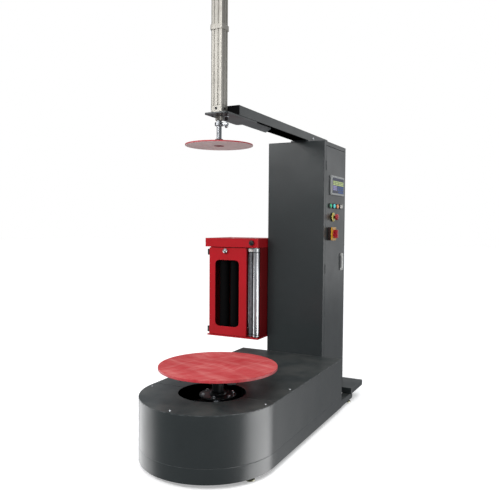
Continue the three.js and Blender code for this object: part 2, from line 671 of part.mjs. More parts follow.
function buildCarriageShell() {
  const z = [FLOOR_TOP + GAP, CARRIAGE_BOX - GAP];
  const walls = cut(
    block([SHELL_LEFT, CARRIAGE_RIGHT - GAP], [SHELL_FRONT, CARRIAGE_BACK], z),
    block(
      [SHELL_LEFT + SHEET, CARRIAGE_RIGHT - GAP - SHEET],
      [SHELL_FRONT - 10, CARRIAGE_BACK - SHEET],
      [0, 2000],
    ),
    block([-250, -100], [SHELL_FRONT - 10, 846], [0, 2000]),
    block([-190, -160], [1067, 1083], [BRACKET_Z[0] - 2, BRACKET_Z[1] + 2]),
  );
  place("carriage_shell", walls, carriageRed);

  const bores = (bottom, top) => {
    const fits = Object.values(ROLLERS).map(({ at }) => bar("z", [...at, 0], 8.6, bottom, top, 20));
    return [...fits, bar("z", [...MANDREL, 0], 12.6, bottom, top, 20)];
  };
  const floor = block([-553, CARRIAGE_RIGHT], [CARRIAGE_FRONT, CARRIAGE_BACK], [CARRIAGE_FLOOR, FLOOR_TOP]);
  place("carriage_floor", cut(floor, ...bores(CARRIAGE_FLOOR + 3, FLOOR_TOP + 5)), carriageRed);

  const width = [CARRIAGE_LEFT, CARRIAGE_RIGHT];
  const depth = [805, CARRIAGE_BACK];
  const outline = roundedBox(width, depth, 10);
  const box = prism(outline, CARRIAGE_BOX, CARRIAGE_TOP, 4);
  const room = block(
    [width[0] + SHEET, width[1] - SHEET],
    [depth[0] + SHEET, depth[1] - SHEET],
    [CARRIAGE_BOX + 6, CARRIAGE_TOP - SHEET],
  );
  const shafts = Object.values(ROLLERS).map(({ at }) => bar("z", [...at, 0], 8.6, 1000, 1030, 20));
  const knobHole = bar("y", [-218, 0, 1044], 5.6, 790, 820, 16);
  place("carriage_top_box", cut(box, room, ...shafts, knobHole), carriageRed);
}

// Rollers run in the floor and the top box. Spur gears pressed on the two rubber rollers'
// upper journals tie them together at one to one.
function buildCarriageRollers() {
  for (const [name, { at, radius, finish }] of Object.entries(ROLLERS)) {
    const geared = name.startsWith("stretch");
    const end = geared ? CARRIAGE_BOX + 28 : CARRIAGE_BOX + 5;
    const profile = [
      [0, CARRIAGE_FLOOR + 5], [8, CARRIAGE_FLOOR + 5], [8, FLOOR_TOP + 6], [radius, FLOOR_TOP + 6],
      [radius, CARRIAGE_BOX - 6], [8, CARRIAGE_BOX - 6], [8, end], [0, end],
    ];
    const roller = turned("z", [...at, 0], profile, 28);
    const phase = name.endsWith("left") ? 0 : 180 / GEAR_TEETH;
    const gear = prism(sprocketOutline(0, 0, 38.5, 4, GEAR_TEETH), ...GEAR_Z);
    const placed = gear.rotate([0, 0, phase]).translate([...at, 0]);
    place(name, geared ? joined(roller, placed) : roller, finish);
  }

  const mandrel = turned("z", [...MANDREL, 0], [
    [0, CARRIAGE_FLOOR + 5], [12, CARRIAGE_FLOOR + 5], [12, FLOOR_TOP + 4], [62, FLOOR_TOP + 4],
    [62, FLOOR_TOP + 12], [36, FLOOR_TOP + 14], [36, 540], [28, 570], [0, 574],
  ]);
  place("film_mandrel", mandrel, aluminium);

  const knob = turned("y", [-218, 0, 1044], [
    [0, 787], [14, 787], [16, 790], [16, 804], [5, 804], [5, 818], [0, 818],
  ], 24);
  place("tension_knob", knob, black);
}

// Film door: a folded tray with a window, hinged on its left edge, and its pull latch.
function buildFilmDoor() {
  const { x, z } = FILM_DOOR;
  const tray = cut(
    block(x, [CARRIAGE_FRONT, CARRIAGE_FRONT + 16], z),
    block([x[0] + 2, x[1] - 2], [CARRIAGE_FRONT + SHEET, 900], [z[0] + 2, z[1] - 2]),
  );
  const window = prism(roundedBox([-493, -315], [489, 928], 30), -900, -800, 6).rotate([90, 0, 0]);
  const latchHole = bar("y", [-412, 0, 989], 6.6, 790, 840, 20);
  place("film_door", cut(tray, window, latchHole), carriageRed);

  const latch = turned("y", [-412, 0, 989], [
    [0, 786], [9, 787], [16, 793], [17, 800], [13, 806], [6, 808.6], [6, 822], [0, 822],
  ], 24);
  place("film_door_latch", latch, chrome);
}

// Bracket from the shell through the column's slot, saddled on the mast.
function buildCarrier() {
  const flange = block([-186, CARRIAGE_RIGHT - SHEET - 2 * GAP], [1030, 1120], [580, 920]);
  const web = block([-180, -24], [1069, 1081], BRACKET_Z);
  const back = block([-32, -22], [1019, 1131], BRACKET_Z);
  const front = block([-32, 62], [1019, 1033], BRACKET_Z);
  const rear = block([-32, 62], [1117, 1131], BRACKET_Z);
  const lug = block([LIFT_X - LIFT_SPROCKET - 0.4, LIFT_X - 22], [1080, 1096], [720, 780]);
  place("carriage_bracket", joined(flange, web, back, front, rear, lug), steel);
}

buildBase();
buildChassis();
buildStabilizer();
buildFeet();
buildTurntable();
buildTurntableDrive();
buildColumn();
buildLift();
buildDoor();
buildArm();
buildCylinder();
buildPressDisc();
buildCarriageShell();
buildCarriageRollers();
buildFilmDoor();
buildCarrier();

// The box runs from the carriage's left side to the stabilizer's right end, and from the
// round front to the stabilizer's rear edge.
const middleX = (CARRIAGE_LEFT + STABILIZER_HALF) / 2;
const middleY = (BASE_ROUND_Y - BASE_HALF + STABILIZER_REAR) / 2;
machine.position.set(-middleX, -middleY, 0);

const group = new THREE.Group();
group.add(machine);
export default group;
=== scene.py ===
# A small turntable wrapper for cartons and luggage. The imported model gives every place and
# size; this script puts the finished skins, fasteners, lights and camera round it, in metres.
import json
import math

import bmesh
import bpy
from mathutils import Matrix, Vector

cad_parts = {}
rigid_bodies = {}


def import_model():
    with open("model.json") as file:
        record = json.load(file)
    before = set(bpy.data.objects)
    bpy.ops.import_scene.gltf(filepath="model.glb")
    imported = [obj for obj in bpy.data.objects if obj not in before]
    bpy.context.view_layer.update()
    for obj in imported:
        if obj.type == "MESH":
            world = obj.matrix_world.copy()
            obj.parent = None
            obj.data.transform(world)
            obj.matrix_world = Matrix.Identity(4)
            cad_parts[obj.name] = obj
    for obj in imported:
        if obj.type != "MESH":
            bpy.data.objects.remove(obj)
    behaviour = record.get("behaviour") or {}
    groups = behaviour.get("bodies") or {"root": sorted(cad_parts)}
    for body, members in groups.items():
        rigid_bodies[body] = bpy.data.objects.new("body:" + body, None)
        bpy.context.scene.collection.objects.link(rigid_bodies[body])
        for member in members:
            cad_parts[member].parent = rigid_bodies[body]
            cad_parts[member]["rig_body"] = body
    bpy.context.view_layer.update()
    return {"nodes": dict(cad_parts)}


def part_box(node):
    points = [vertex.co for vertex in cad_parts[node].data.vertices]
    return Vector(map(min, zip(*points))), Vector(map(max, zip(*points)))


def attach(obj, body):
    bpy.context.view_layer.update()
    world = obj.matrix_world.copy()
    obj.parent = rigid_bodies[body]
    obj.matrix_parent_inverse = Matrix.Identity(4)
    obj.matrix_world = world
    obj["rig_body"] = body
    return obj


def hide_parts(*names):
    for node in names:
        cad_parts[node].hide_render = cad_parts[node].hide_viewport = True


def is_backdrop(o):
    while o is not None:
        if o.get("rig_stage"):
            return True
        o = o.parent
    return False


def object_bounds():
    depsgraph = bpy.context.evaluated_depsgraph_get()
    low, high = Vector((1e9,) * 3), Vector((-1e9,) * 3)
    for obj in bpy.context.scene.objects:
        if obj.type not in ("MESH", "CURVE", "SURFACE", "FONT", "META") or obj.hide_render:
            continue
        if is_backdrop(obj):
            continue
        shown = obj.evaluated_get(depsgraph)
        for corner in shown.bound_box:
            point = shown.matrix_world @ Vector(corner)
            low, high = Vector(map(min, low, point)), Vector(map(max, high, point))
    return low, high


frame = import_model()


# ---- Floor, lights and camera ----
# A pale seamless floor in a white room. Boxes at both sides and behind only put highlights on
# the steel; two boxes in front and a soft ceiling light the whole machine.
def add_node(tree, kind, feeds=None, **settings):
    """A shader node whose inputs are set to values or fed from other nodes' sockets."""
    made = tree.nodes.new("ShaderNode" + kind)
    for name, value in settings.items():
        setattr(made, name, value)
    for name, value in (feeds or {}).items():
        if isinstance(value, bpy.types.NodeSocket):
            tree.links.new(value, made.inputs[name])
        else:
            made.inputs[name].default_value = value
    return made


def colour(code):
    """A screen colour such as "a0b0c0" as linear red, green, blue and opacity."""
    shares = [int(code[i : i + 2], 16) / 255 for i in (0, 2, 4)]
    return [s / 12.92 if s < 0.04045 else ((s + 0.055) / 1.055) ** 2.4 for s in shares] + [1]


def blank_material(name):
    """An empty material and its surface socket."""
    material = bpy.data.materials.new(name)
    material.use_nodes = True
    material.node_tree.nodes.clear()
    return material, add_node(material.node_tree, "OutputMaterial").inputs["Surface"]


def soft_box(name, place, facing, width, height, power, diffuse=True):
    """A rectangular light at a place, turned towards a point; some only give highlights."""
    light = bpy.data.lights.new(name, "AREA")
    light.shape = "RECTANGLE"
    light.size = width
    light.size_y = height
    light.energy = power
    lamp = bpy.data.objects.new(name, light)
    lamp.location = place
    lamp.visible_diffuse = diffuse
    lamp.rotation_euler = (Vector(facing) - Vector(place)).to_track_quat("-Z", "Y").to_euler()
    bpy.context.scene.collection.objects.link(lamp)


FLOOR_REACH = 30
floor_mesh = bpy.data.meshes.new("pale_floor")
corners = [(-1, -1), (1, -1), (1, 1), (-1, 1)]
corners = [(x * FLOOR_REACH, y * FLOOR_REACH, 0) for x, y in corners]
floor_mesh.from_pydata(corners, [], [(0, 1, 2, 3)])
floor = bpy.data.objects.new("pale_floor", floor_mesh)
bpy.context.scene.collection.objects.link(floor)
floor_paint, surface = blank_material("pale_floor")
tree = floor_paint.node_tree
mottle = add_node(tree, "TexNoise", {"Scale": 2.0, "Detail": 3.0})
shade = add_node(tree, "MapRange", {"Value": mottle.outputs["Fac"], "To Min": 0.9, "To Max": 0.94})
to_eye = add_node(tree, "LightPath").outputs["Is Camera Ray"]
pale = add_node(tree, "MapRange", {"Value": to_eye, "To Min": 0.42, "To Max": 1.0})
tone = add_node(tree, "Math", {0: shade.outputs[0], 1: pale.outputs[0]}, operation="MULTIPLY")
feeds = {"Base Color": tone.outputs[0], "Roughness": 0.9, "Specular IOR Level": 0.1}
shader = add_node(tree, "BsdfPrincipled", feeds)
lift = add_node(tree, "Emission", {"Color": colour("ffffff"), "Strength": 0.35})
none = add_node(tree, "Emission", {"Color": colour("000000"), "Strength": 0.0})
feeds = {0: to_eye, 1: none.outputs[0], 2: lift.outputs[0]}
glow = add_node(tree, "MixShader", feeds)
both = add_node(tree, "AddShader", {0: shader.outputs[0], 1: glow.outputs[0]})
tree.links.new(both.outputs[0], surface)
floor_mesh.materials.append(floor_paint)
# The steel mirrors the low boxes through the floor, which is left out of its reflections.
floor.visible_glossy = False
floor.visible_shadow = False
floor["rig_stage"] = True

world = bpy.data.worlds.new("white_room")
bpy.context.scene.world = world
world.use_nodes = True
tree = world.node_tree
tree.nodes.clear()
seen = add_node(tree, "LightPath")
room = add_node(tree, "Background", {"Color": colour("eef2f6"), "Strength": 0.4})
backdrop = add_node(tree, "Background", {"Color": colour("ffffff"), "Strength": 1.0})
feeds = {0: seen.outputs["Is Camera Ray"], 1: room.outputs[0], 2: backdrop.outputs[0]}
choice = add_node(tree, "MixShader", feeds)
tree.links.new(choice.outputs[0], add_node(tree, "OutputWorld").inputs["Surface"])

soft_box("right_low_box", (2.85, 0.55, -0.9), (0.44, -0.64, 0.0), 2.7, 2.6, 148, diffuse=False)
soft_box("left_low_box", (-3.0, -0.45, -0.8), (-0.14, -0.8, 0.0), 3.0, 3.0, 80, diffuse=False)
soft_box("roller_strip", (3.2, -1.8, 0.75), (-0.1, 0.36, 0.75), 0.8, 1.3, 34, diffuse=False)
soft_box("rear_right_box", (2.6, 3.9, 1.6), (0.2, 0.4, 0.9), 3.0, 2.7, 23, diffuse=False)
soft_box("front_high_box", (-1.5, -3.3, 2.5), (0.1, 0.4, 1.6), 2.4, 0.6, 46)
soft_box("front_key", (0.9, -4.4, 3.6), (-0.1, 0.2, 0.8), 2.6, 1.6, 135)
sky = bpy.data.lights.new("ceiling_glow", "SUN")
sky.energy = 1.5
sky.angle = math.radians(75)
ceiling = bpy.data.objects.new("ceiling_glow", sky)
ceiling.rotation_euler = (math.radians(-8), math.radians(12), 0)
bpy.context.scene.collection.objects.link(ceiling)

CAMERA_AZIMUTH = 26.93
CAMERA_PITCH = -2.44
CAMERA_ROLL = 0.41
camera_data = bpy.data.cameras.new("camera")
camera_data.sensor_width = 36
camera_data.lens = 41.71
camera = bpy.data.objects.new("camera", camera_data)
camera.location = (1.5514, -2.9777, 1.16)
camera.rotation_mode = "QUATERNION"
camera.rotation_quaternion = (
    Matrix.Rotation(math.radians(CAMERA_AZIMUTH), 3, "Z")
    @ Matrix.Rotation(math.radians(90 + CAMERA_PITCH), 3, "X")
    @ Matrix.Rotation(math.radians(CAMERA_ROLL), 3, "Z")
).to_quaternion()
bpy.context.scene.collection.objects.link(camera)
bpy.context.scene.camera = camera
bpy.context.scene.view_settings.view_transform = "Standard"


# ---- Charcoal powder coat ----
# Nearly every folded panel has the same baked powder coat: a dark blue-grey polyester with a
# fine orange-peel surface, a little cloudiness, pale rubbed edges and dust on what lies flat.
def effect_group(name, takes, gives):
    """A node group with named number inputs and outputs, and its inside ends."""
    group = bpy.data.node_groups.new(name, "ShaderNodeTree")
    for label, value in takes.items():
        socket = group.interface.new_socket(label, in_out="INPUT", socket_type="NodeSocketFloat")
        socket.default_value = value
    for label in gives:
        group.interface.new_socket(label, in_out="OUTPUT", socket_type="NodeSocketFloat")
    start = group.nodes.new("NodeGroupInput")
    end = group.nodes.new("NodeGroupOutput")
    return group, start.outputs, end.inputs


def effect(tree, group, **values):
    """Places a node group in a material and returns its outputs."""
    placed = add_node(tree, "Group", node_tree=group)
    for label, value in values.items():
        placed.inputs[label.replace("_", " ").capitalize()].default_value = value
    return placed.outputs


def ramp(tree, value, low, high, start=0.0, end=1.0):
    """A number turned from low..high into start..end, and held there outside it."""
    feeds = {"Value": value, "From Min": low, "From Max": high, "To Min": start, "To Max": end}
    return add_node(tree, "MapRange", feeds).outputs[0]


def times(tree, first, second):
    return add_node(tree, "Math", {0: first, 1: second}, operation="MULTIPLY").outputs[0]


def mixed(tree, mask, low, high):
    """One colour where the mask is 0 and the other where it is 1."""
    feeds = {0: mask, 6: low, 7: high}
    return add_node(tree, "Mix", feeds, data_type="RGBA").outputs[2]


orange_peel, takes, gives = effect_group(
    "orange_peel", {"Peels": 420.0, "Clouds": 5.0}, ["Height", "Cloud"]
)
where = add_node(orange_peel, "TexCoord").outputs["Object"]
fine = add_node(orange_peel, "TexNoise", {"Vector": where, "Scale": takes["Peels"], "Detail": 2.0})
feeds = {"Vector": where, "Scale": takes["Clouds"], "Detail": 5.0}
cloud = add_node(orange_peel, "TexNoise", feeds)
orange_peel.links.new(fine.outputs["Fac"], gives["Height"])
orange_peel.links.new(ramp(orange_peel, cloud.outputs["Fac"], 0.3, 0.7), gives["Cloud"])

rubbed_edges, takes, gives = effect_group(
    "rubbed_edges", {"Reach": 0.0015, "Breaks": 45.0}, ["Mask"]
)
rounded = add_node(rubbed_edges, "Bevel", {"Radius": takes["Reach"]}, samples=4)
true_normal = add_node(rubbed_edges, "NewGeometry").outputs["Normal"]
feeds = {0: rounded.outputs[0], 1: true_normal}
lean = add_node(rubbed_edges, "VectorMath", feeds, operation="DOT_PRODUCT").outputs["Value"]
where = add_node(rubbed_edges, "TexCoord").outputs["Object"]
feeds = {"Vector": where, "Scale": takes["Breaks"], "Detail": 4.0}
patches = add_node(rubbed_edges, "TexNoise", feeds).outputs["Fac"]
at_edges = ramp(rubbed_edges, lean, 0.995, 0.9)
mask = times(rubbed_edges, at_edges, ramp(rubbed_edges, patches, 0.42, 0.62))
rubbed_edges.links.new(mask, gives["Mask"])

settled_dust, takes, gives = effect_group(
    "settled_dust", {"Patches": 7.0, "Amount": 0.3}, ["Mask"]
)
facing = add_node(settled_dust, "NewGeometry").outputs["Normal"]
split = add_node(settled_dust, "SeparateXYZ", {0: facing})
where = add_node(settled_dust, "TexCoord").outputs["Object"]
feeds = {"Vector": where, "Scale": takes["Patches"], "Detail": 6.0, "Roughness": 0.65}
drift = ramp(settled_dust, add_node(settled_dust, "TexNoise", feeds).outputs["Fac"], 0.35, 0.75)
flat = ramp(settled_dust, split.outputs["Z"], 0.6, 0.98)
mask = times(settled_dust, times(settled_dust, flat, drift), takes["Amount"])
settled_dust.links.new(mask, gives["Mask"])


def finished(material, surface, feeds, height, strength, depth):
    """Closes a material: its feeds, and a relief of a height, a strength and a depth."""
    tree = material.node_tree
    relief = {"Height": height, "Strength": strength, "Distance": depth}
    feeds["Normal"] = add_node(tree, "Bump", relief).outputs[0]
    tree.links.new(add_node(tree, "BsdfPrincipled", feeds).outputs[0], surface)
    return material


def powder_coat(name, deep, pale, worn, rough=0.42, dust=0.12, peel=0.25, shine=0.5):
    """Baked powder on steel: two close shades of one colour, and the colour where it rubs."""
    material, surface = blank_material(name)
    tree = material.node_tree
    skin = effect(tree, orange_peel)
    rubbed = effect(tree, rubbed_edges)["Mask"]
    dusty = effect(tree, settled_dust, amount=dust)["Mask"]
    base = mixed(tree, skin["Cloud"], colour(deep), colour(pale))
    base = mixed(tree, rubbed, base, colour(worn))
    base = mixed(tree, dusty, base, colour("a8a49c"))
    gloss = ramp(tree, skin["Cloud"], 0.0, 1.0, rough + 0.05, rough - 0.04)
    feeds = {"Base Color": base, "Roughness": gloss, "Specular IOR Level": shine}
    return finished(material, surface, feeds, skin["Height"], peel, 0.0004)


charcoal = powder_coat(
    "charcoal_powder_coat", "24292a", "2b3031", "6c7173", rough=0.34, shine=0.4
)


# ---- Base skirt ----
# A steel sheet wrapped round the base's half-round front, with a shallow pressed seam low
# down, and a rear plate notched over the frame's two rails and the column's seat.
SHEET = 0.003
SEAM_HEIGHT = 0.097


def stand(axis, u, v, along):
    """A point u, v on a flat outline and a distance along its axis, as x, y, z."""
    return {"x": (along, u, v), "y": (u, along, v), "z": (u, v, along)}[axis]


SHARP_BEND = math.radians(28)
SMOOTH_BEND = math.radians(32)


def soften(bm, edges, width, steps=2):
    """Rounds those of the edges that bend sharply."""
    bm.normal_update()
    sharp = [e for e in edges if e.is_valid and len(e.link_faces) == 2]
    sharp = [e for e in sharp if e.calc_face_angle(0) > SHARP_BEND]
    if sharp:
        bmesh.ops.bevel(
            bm, geom=sharp, offset=width, offset_type="OFFSET", segments=steps, profile=0.5,
            affect="EDGES", clamp_overlap=True,
        )


def plate(bm, axis, outer, low, high, holes=(), edge=0.0006, steps=2):
    """A flat sheet with an outline and holes, between two heights along its axis.

    Its edges are kept in a fixed order, so that the rounding comes out alike every time.
    """
    rims, tops = [], {}
    for outline in (outer, *holes):
        ring = [bm.verts.new(stand(axis, u, v, low)) for u, v in outline]
        rims += [bm.edges.new(pair) for pair in zip(ring, ring[1:] + ring[:1])]
        for vertex, (u, v) in zip(ring, outline):
            tops[vertex] = bm.verts.new(stand(axis, u, v, high))
    filled = bmesh.ops.triangle_fill(bm, edges=rims, use_beauty=True)["geom"]
    lower = [g for g in filled if isinstance(g, bmesh.types.BMFace)]
    upper = [bm.faces.new([tops[v] for v in face.verts]) for face in lower]
    ends = [e.verts[:] for e in rims]
    sides = [bm.faces.new((a, b, tops[b], tops[a])) for a, b in ends]
    faces = lower + upper + sides
    bmesh.ops.recalc_face_normals(bm, faces=faces)
    inner = dict.fromkeys(e for f in lower + upper for e in f.edges if len(e.link_faces) == 2)
    bmesh.ops.dissolve_limit(
        bm, angle_limit=0.005, verts=[], edges=[e for e in inner if e.calc_face_angle(0) < 0.005]
    )
    rest = dict.fromkeys(e for v in [*tops, *tops.values()] if v.is_valid for e in v.link_edges)
    soften(bm, rest, edge, steps)


def finish_piece(bm, name, material, body, *stands_for, slot=None):
    """Turns a mesh into a named piece that rides on a body and stands for CAD nodes."""
    bmesh.ops.recalc_face_normals(bm, faces=bm.faces)
    mesh = bpy.data.meshes.new(name)
    bm.to_mesh(mesh)
    bm.free()
    mesh.shade_smooth()
    mesh.set_sharp_from_angle(angle=SMOOTH_BEND)
    mesh.materials.append(material)
    piece = bpy.data.objects.new(name, mesh)
    bpy.context.scene.collection.objects.link(piece)
    piece.modifiers.new("even_shading", "WEIGHTED_NORMAL").keep_sharp = True
    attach(piece, body)
    if stands_for:
        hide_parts(*stands_for)
    return piece


skirt_low, skirt_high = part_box("base_skirt")
middle_x = (skirt_low.x + skirt_high.x) / 2
base_half = (skirt_high.x - skirt_low.x) / 2
round_y = skirt_low.y + base_half


def base_plan(inset, rear, steps=80):
    """The base in plan, from its rear right corner round the front to the rear left."""
    radius = base_half - inset
    angles = [-math.pi * i / steps for i in range(steps + 1)]
    curve = [(middle_x + radius * math.cos(a), round_y + radius * math.sin(a)) for a in angles]
    return [(middle_x + radius, rear), *curve, (middle_x - radius, rear)]


bm = bmesh.new()
edge = 0.0008
seam = 0.003
wall = [
    (edge, skirt_low.z), (0, skirt_low.z + edge), (0, SEAM_HEIGHT - seam), (0.0016, SEAM_HEIGHT),
    (0, SEAM_HEIGHT + seam), (0, skirt_high.z - edge), (edge, skirt_high.z),
    (SHEET - edge, skirt_high.z), (SHEET, skirt_high.z - edge), (SHEET, skirt_low.z + edge),
    (SHEET - edge, skirt_low.z),
]
lines = [[bm.verts.new((x, y, z)) for x, y in base_plan(inset, skirt_high.y)] for inset, z in wall]
for first, second in zip(lines, lines[1:] + lines[:1]):
    for i in range(len(first) - 1):
        bm.faces.new((first[i], first[i + 1], second[i + 1], second[i]))
bm.faces.new([line[0] for line in lines])
bm.faces.new([line[-1] for line in lines])
RAIL_INNER = 0.26
RAIL_OUTER = 0.2925
RAIL_TOP = 0.063
SEAT_SPAN = (-0.171, 0.215)
SEAT_TOP = 0.101
SILL = 0.0313
wall_inner = base_half - SHEET - 0.0003
rear_outline = [
    (-wall_inner, RAIL_TOP), (-RAIL_OUTER, RAIL_TOP), (-RAIL_OUTER, skirt_low.z),
    (-RAIL_INNER, skirt_low.z), (-RAIL_INNER, SILL), (SEAT_SPAN[0], SILL),
    (SEAT_SPAN[0], SEAT_TOP), (SEAT_SPAN[1], SEAT_TOP), (SEAT_SPAN[1], SILL),
    (RAIL_INNER, SILL), (RAIL_INNER, skirt_low.z), (RAIL_OUTER, skirt_low.z),
    (RAIL_OUTER, RAIL_TOP), (wall_inner, RAIL_TOP), (wall_inner, skirt_high.z),
    (-wall_inner, skirt_high.z),
]
rear_outline = [(middle_x + x, z) for x, z in rear_outline]
plate(bm, "y", rear_outline, skirt_high.y - SHEET, skirt_high.y)
finish_piece(bm, "skirt_sheet", charcoal, "root", "base_skirt")


# ---- Base covers and their screws ----
# Two flat steel covers meet across the base and leave a round well for the table's hub. Pale
# button-head screws hold them near the edge.
def lathe(bm, axis, centre, profile, steps=64):
    """A closed solid turned from (radius, height) points, on or off its axis."""
    rings = []
    for radius, height in profile:
        turns = 1 if radius < 1e-7 else steps
        angles = [2 * math.pi * i / steps for i in range(turns)]
        points = [stand(axis, radius * math.cos(a), radius * math.sin(a), height) for a in angles]
        rings.append([bm.verts.new(Vector(centre) + Vector(p)) for p in points])
    pairs = list(zip(rings, rings[1:]))
    if len(rings[0]) > 1:
        pairs.append((rings[-1], rings[0]))
    for first, second in pairs:
        for i in range(steps):
            j = (i + 1) % steps
            if len(first) == 1 and len(second) > 1:
                bm.faces.new((first[0], second[j], second[i]))
            elif len(second) == 1 and len(first) > 1:
                bm.faces.new((first[i], first[j], second[0]))
            elif len(first) > 1:
                bm.faces.new((first[i], first[j], second[j], second[i]))


def eased(points, radius, steps=3, closed=False):
    """The same line with its corners rounded by about a radius."""
    made = []
    last = len(points) - 1
    for i, here in enumerate(points):
        corner = Vector(here)
        if not closed and i in (0, last):
            made.append(tuple(corner))
            continue
        back = Vector(points[i - 1]) - corner
        ahead = Vector(points[(i + 1) % len(points)]) - corner
        reach = min(radius, back.length * 0.49, ahead.length * 0.49)
        start, end = corner + back.normalized() * reach, corner + ahead.normalized() * reach
        for step in range(steps + 1):
            t = step / steps
            made.append(tuple(start * (1 - t) ** 2 + corner * 2 * t * (1 - t) + end * t**2))
    return made


def turned(name, material, body, axis, centre, profile, steps, *stands_for):
    """A piece turned from one profile about an axis through its centre."""
    bm = bmesh.new()
    lathe(bm, axis, centre, profile, steps)
    return finish_piece(bm, name, material, body, *stands_for)


def rectangle(low_u, low_v, high_u, high_v):
    """A rectangle's outline, which is also the profile of a plain pin or ring."""
    return [(low_u, low_v), (high_u, low_v), (high_u, high_v), (low_u, high_v)]


def screw_head(bm, axis, centre, radius, height, steps=20):
    """A button head with a socket, standing up from its centre by a height of either sign."""
    profile = [
        (0, 0), (radius, 0), (radius, height * 0.35), (radius * 0.82, height * 0.8),
        (radius * 0.5, height), (radius * 0.46, height * 0.95), (radius * 0.42, height * 0.45),
        (0, height * 0.4),
    ]
    lathe(bm, axis, centre, profile, steps)


def metal(name, dark, light, rough, lines, grime="4a443d", grain=0.06):
    """Bare or plated metal, drawn or turned along one way, with a little grime in patches."""
    material, surface = blank_material(name)
    tree = material.node_tree
    brushed = effect(tree, brushed_lines, across=lines[0], up=lines[1])
    smudge = effect(tree, orange_peel, clouds=9.0)["Cloud"]
    base = mixed(tree, brushed["Tone"], colour(dark), colour(light))
    hollows = ramp(tree, brushed["Tone"], 0.8, 0.2, 0.0, 0.5)
    dirty = times(tree, ramp(tree, smudge, 0.55, 1.0), hollows)
    base = mixed(tree, dirty, base, colour(grime))
    gloss = ramp(tree, smudge, 0.0, 1.0, rough, rough + 0.08)
    feeds = {"Base Color": base, "Roughness": gloss, "Metallic": 1.0}
    return finished(material, surface, feeds, brushed["Height"], grain, 0.0002)


brushed_lines, takes, gives = effect_group(
    "brushed_lines", {"Across": 900.0, "Up": 12.0}, ["Height", "Tone"]
)
where = add_node(brushed_lines, "TexCoord").outputs["Object"]
feeds = {0: takes["Across"], 1: takes["Across"], 2: takes["Up"]}
pull = add_node(brushed_lines, "CombineXYZ", feeds)
feeds = {0: where, 1: pull.outputs[0]}
stretched = add_node(brushed_lines, "VectorMath", feeds, operation="MULTIPLY").outputs[0]
lines = add_node(brushed_lines, "TexNoise", {"Vector": stretched, "Scale": 1.0, "Detail": 3.0})
brushed_lines.links.new(lines.outputs["Fac"], gives["Height"])
brushed_lines.links.new(ramp(brushed_lines, lines.outputs["Fac"], 0.3, 0.7), gives["Tone"])

zinc = metal(
    "zinc_fastener_steel", "b9bcc0", "dcdee0", 0.3, (60.0, 60.0)
)

front_low, front_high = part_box("front_cover")
rear_low, rear_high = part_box("rear_cover")
table_low, table_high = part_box("turntable_plate")
table_axis = (table_low + table_high) / 2
WELL_RADIUS = 0.168
well_y = (front_high.y + rear_low.y) / 2
COVER_EDGE = 0.0012
SEAM_EASE = 0.001


def well_arc(start, end, steps=60):
    """Points on the well's rim between two angles."""
    angles = [start + (end - start) * i / steps for i in range(steps + 1)]
    return [
        (middle_x + WELL_RADIUS * math.cos(a), well_y + WELL_RADIUS * math.sin(a)) for a in angles
    ]


bm = bmesh.new()
seam_front = front_high.y - SEAM_EASE
turn = math.asin((seam_front - well_y) / WELL_RADIUS)
outline = base_plan(0, seam_front) + well_arc(math.pi - turn, 2 * math.pi + turn)
plate(bm, "z", outline, front_low.z, front_high.z, edge=COVER_EDGE)
finish_piece(bm, "front_cover_sheet", charcoal, "root", "front_cover")

bm = bmesh.new()
seam_rear = rear_low.y + SEAM_EASE
turn = math.asin((seam_rear - well_y) / WELL_RADIUS)
corners = rectangle(rear_low.x, seam_rear, rear_high.x, rear_high.y)
outline = [corners[0], corners[3], corners[2], corners[1]]
outline += well_arc(turn, math.pi - turn)
plate(bm, "z", outline, rear_low.z, rear_high.z, edge=COVER_EDGE)
finish_piece(bm, "rear_cover_sheet", charcoal, "root", "rear_cover")

bm = bmesh.new()
SCREW_INSET = 0.024
COVER_SCREW = (0.0058, 0.003)
SIDE_SCREW_SHARE = 0.219
reach = base_half - SCREW_INSET
for degrees in (-7, -92.5, -173):
    a = math.radians(degrees)
    place = (middle_x + reach * math.cos(a), round_y + reach * math.sin(a), front_high.z)
    screw_head(bm, "z", place, *COVER_SCREW)
for side in (-1, 1):
    y = rear_low.y + SIDE_SCREW_SHARE * (rear_high.y - rear_low.y)
    screw_head(bm, "z", (middle_x + side * reach, y, rear_high.z), *COVER_SCREW)
finish_piece(bm, "cover_screws", zinc, "root")


# ---- Chassis frame, stabilizer and levelling feet ----
# Welded box rails and a folded outrigger under the column take the load down to five dull
# zinc levelling feet, each a turned pad on a ball neck with a lock nut.
def body_of(node):
    return frame["nodes"][node]["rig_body"]


def middle(node):
    """The centre of a node's box."""
    low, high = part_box(node)
    return (low + high) / 2


def skin(node, material, edge=0.0008, steps=2, slot=None):
    """The CAD node's own shape with its flat faces made whole and its edges rounded."""
    bm = bmesh.new()
    bm.from_mesh(frame["nodes"][node].data)
    bmesh.ops.remove_doubles(bm, verts=bm.verts, dist=1e-5)
    bmesh.ops.dissolve_limit(bm, angle_limit=0.008, verts=bm.verts, edges=bm.edges)
    soften(bm, bm.edges, edge, steps)
    return finish_piece(bm, node + "_skin", material, body_of(node), node, slot=slot)


def hexagon(centre, across, turned=0.0):
    """A nut's outline on a flat plane."""
    angles = [turned + math.pi / 3 * i for i in range(6)]
    radius = across / math.sqrt(3)
    return [(centre[0] + radius * math.cos(a), centre[1] + radius * math.sin(a)) for a in angles]


skin("chassis_frame", charcoal, 0.0015)
skin("rear_stabilizer", charcoal, 0.003, 3)

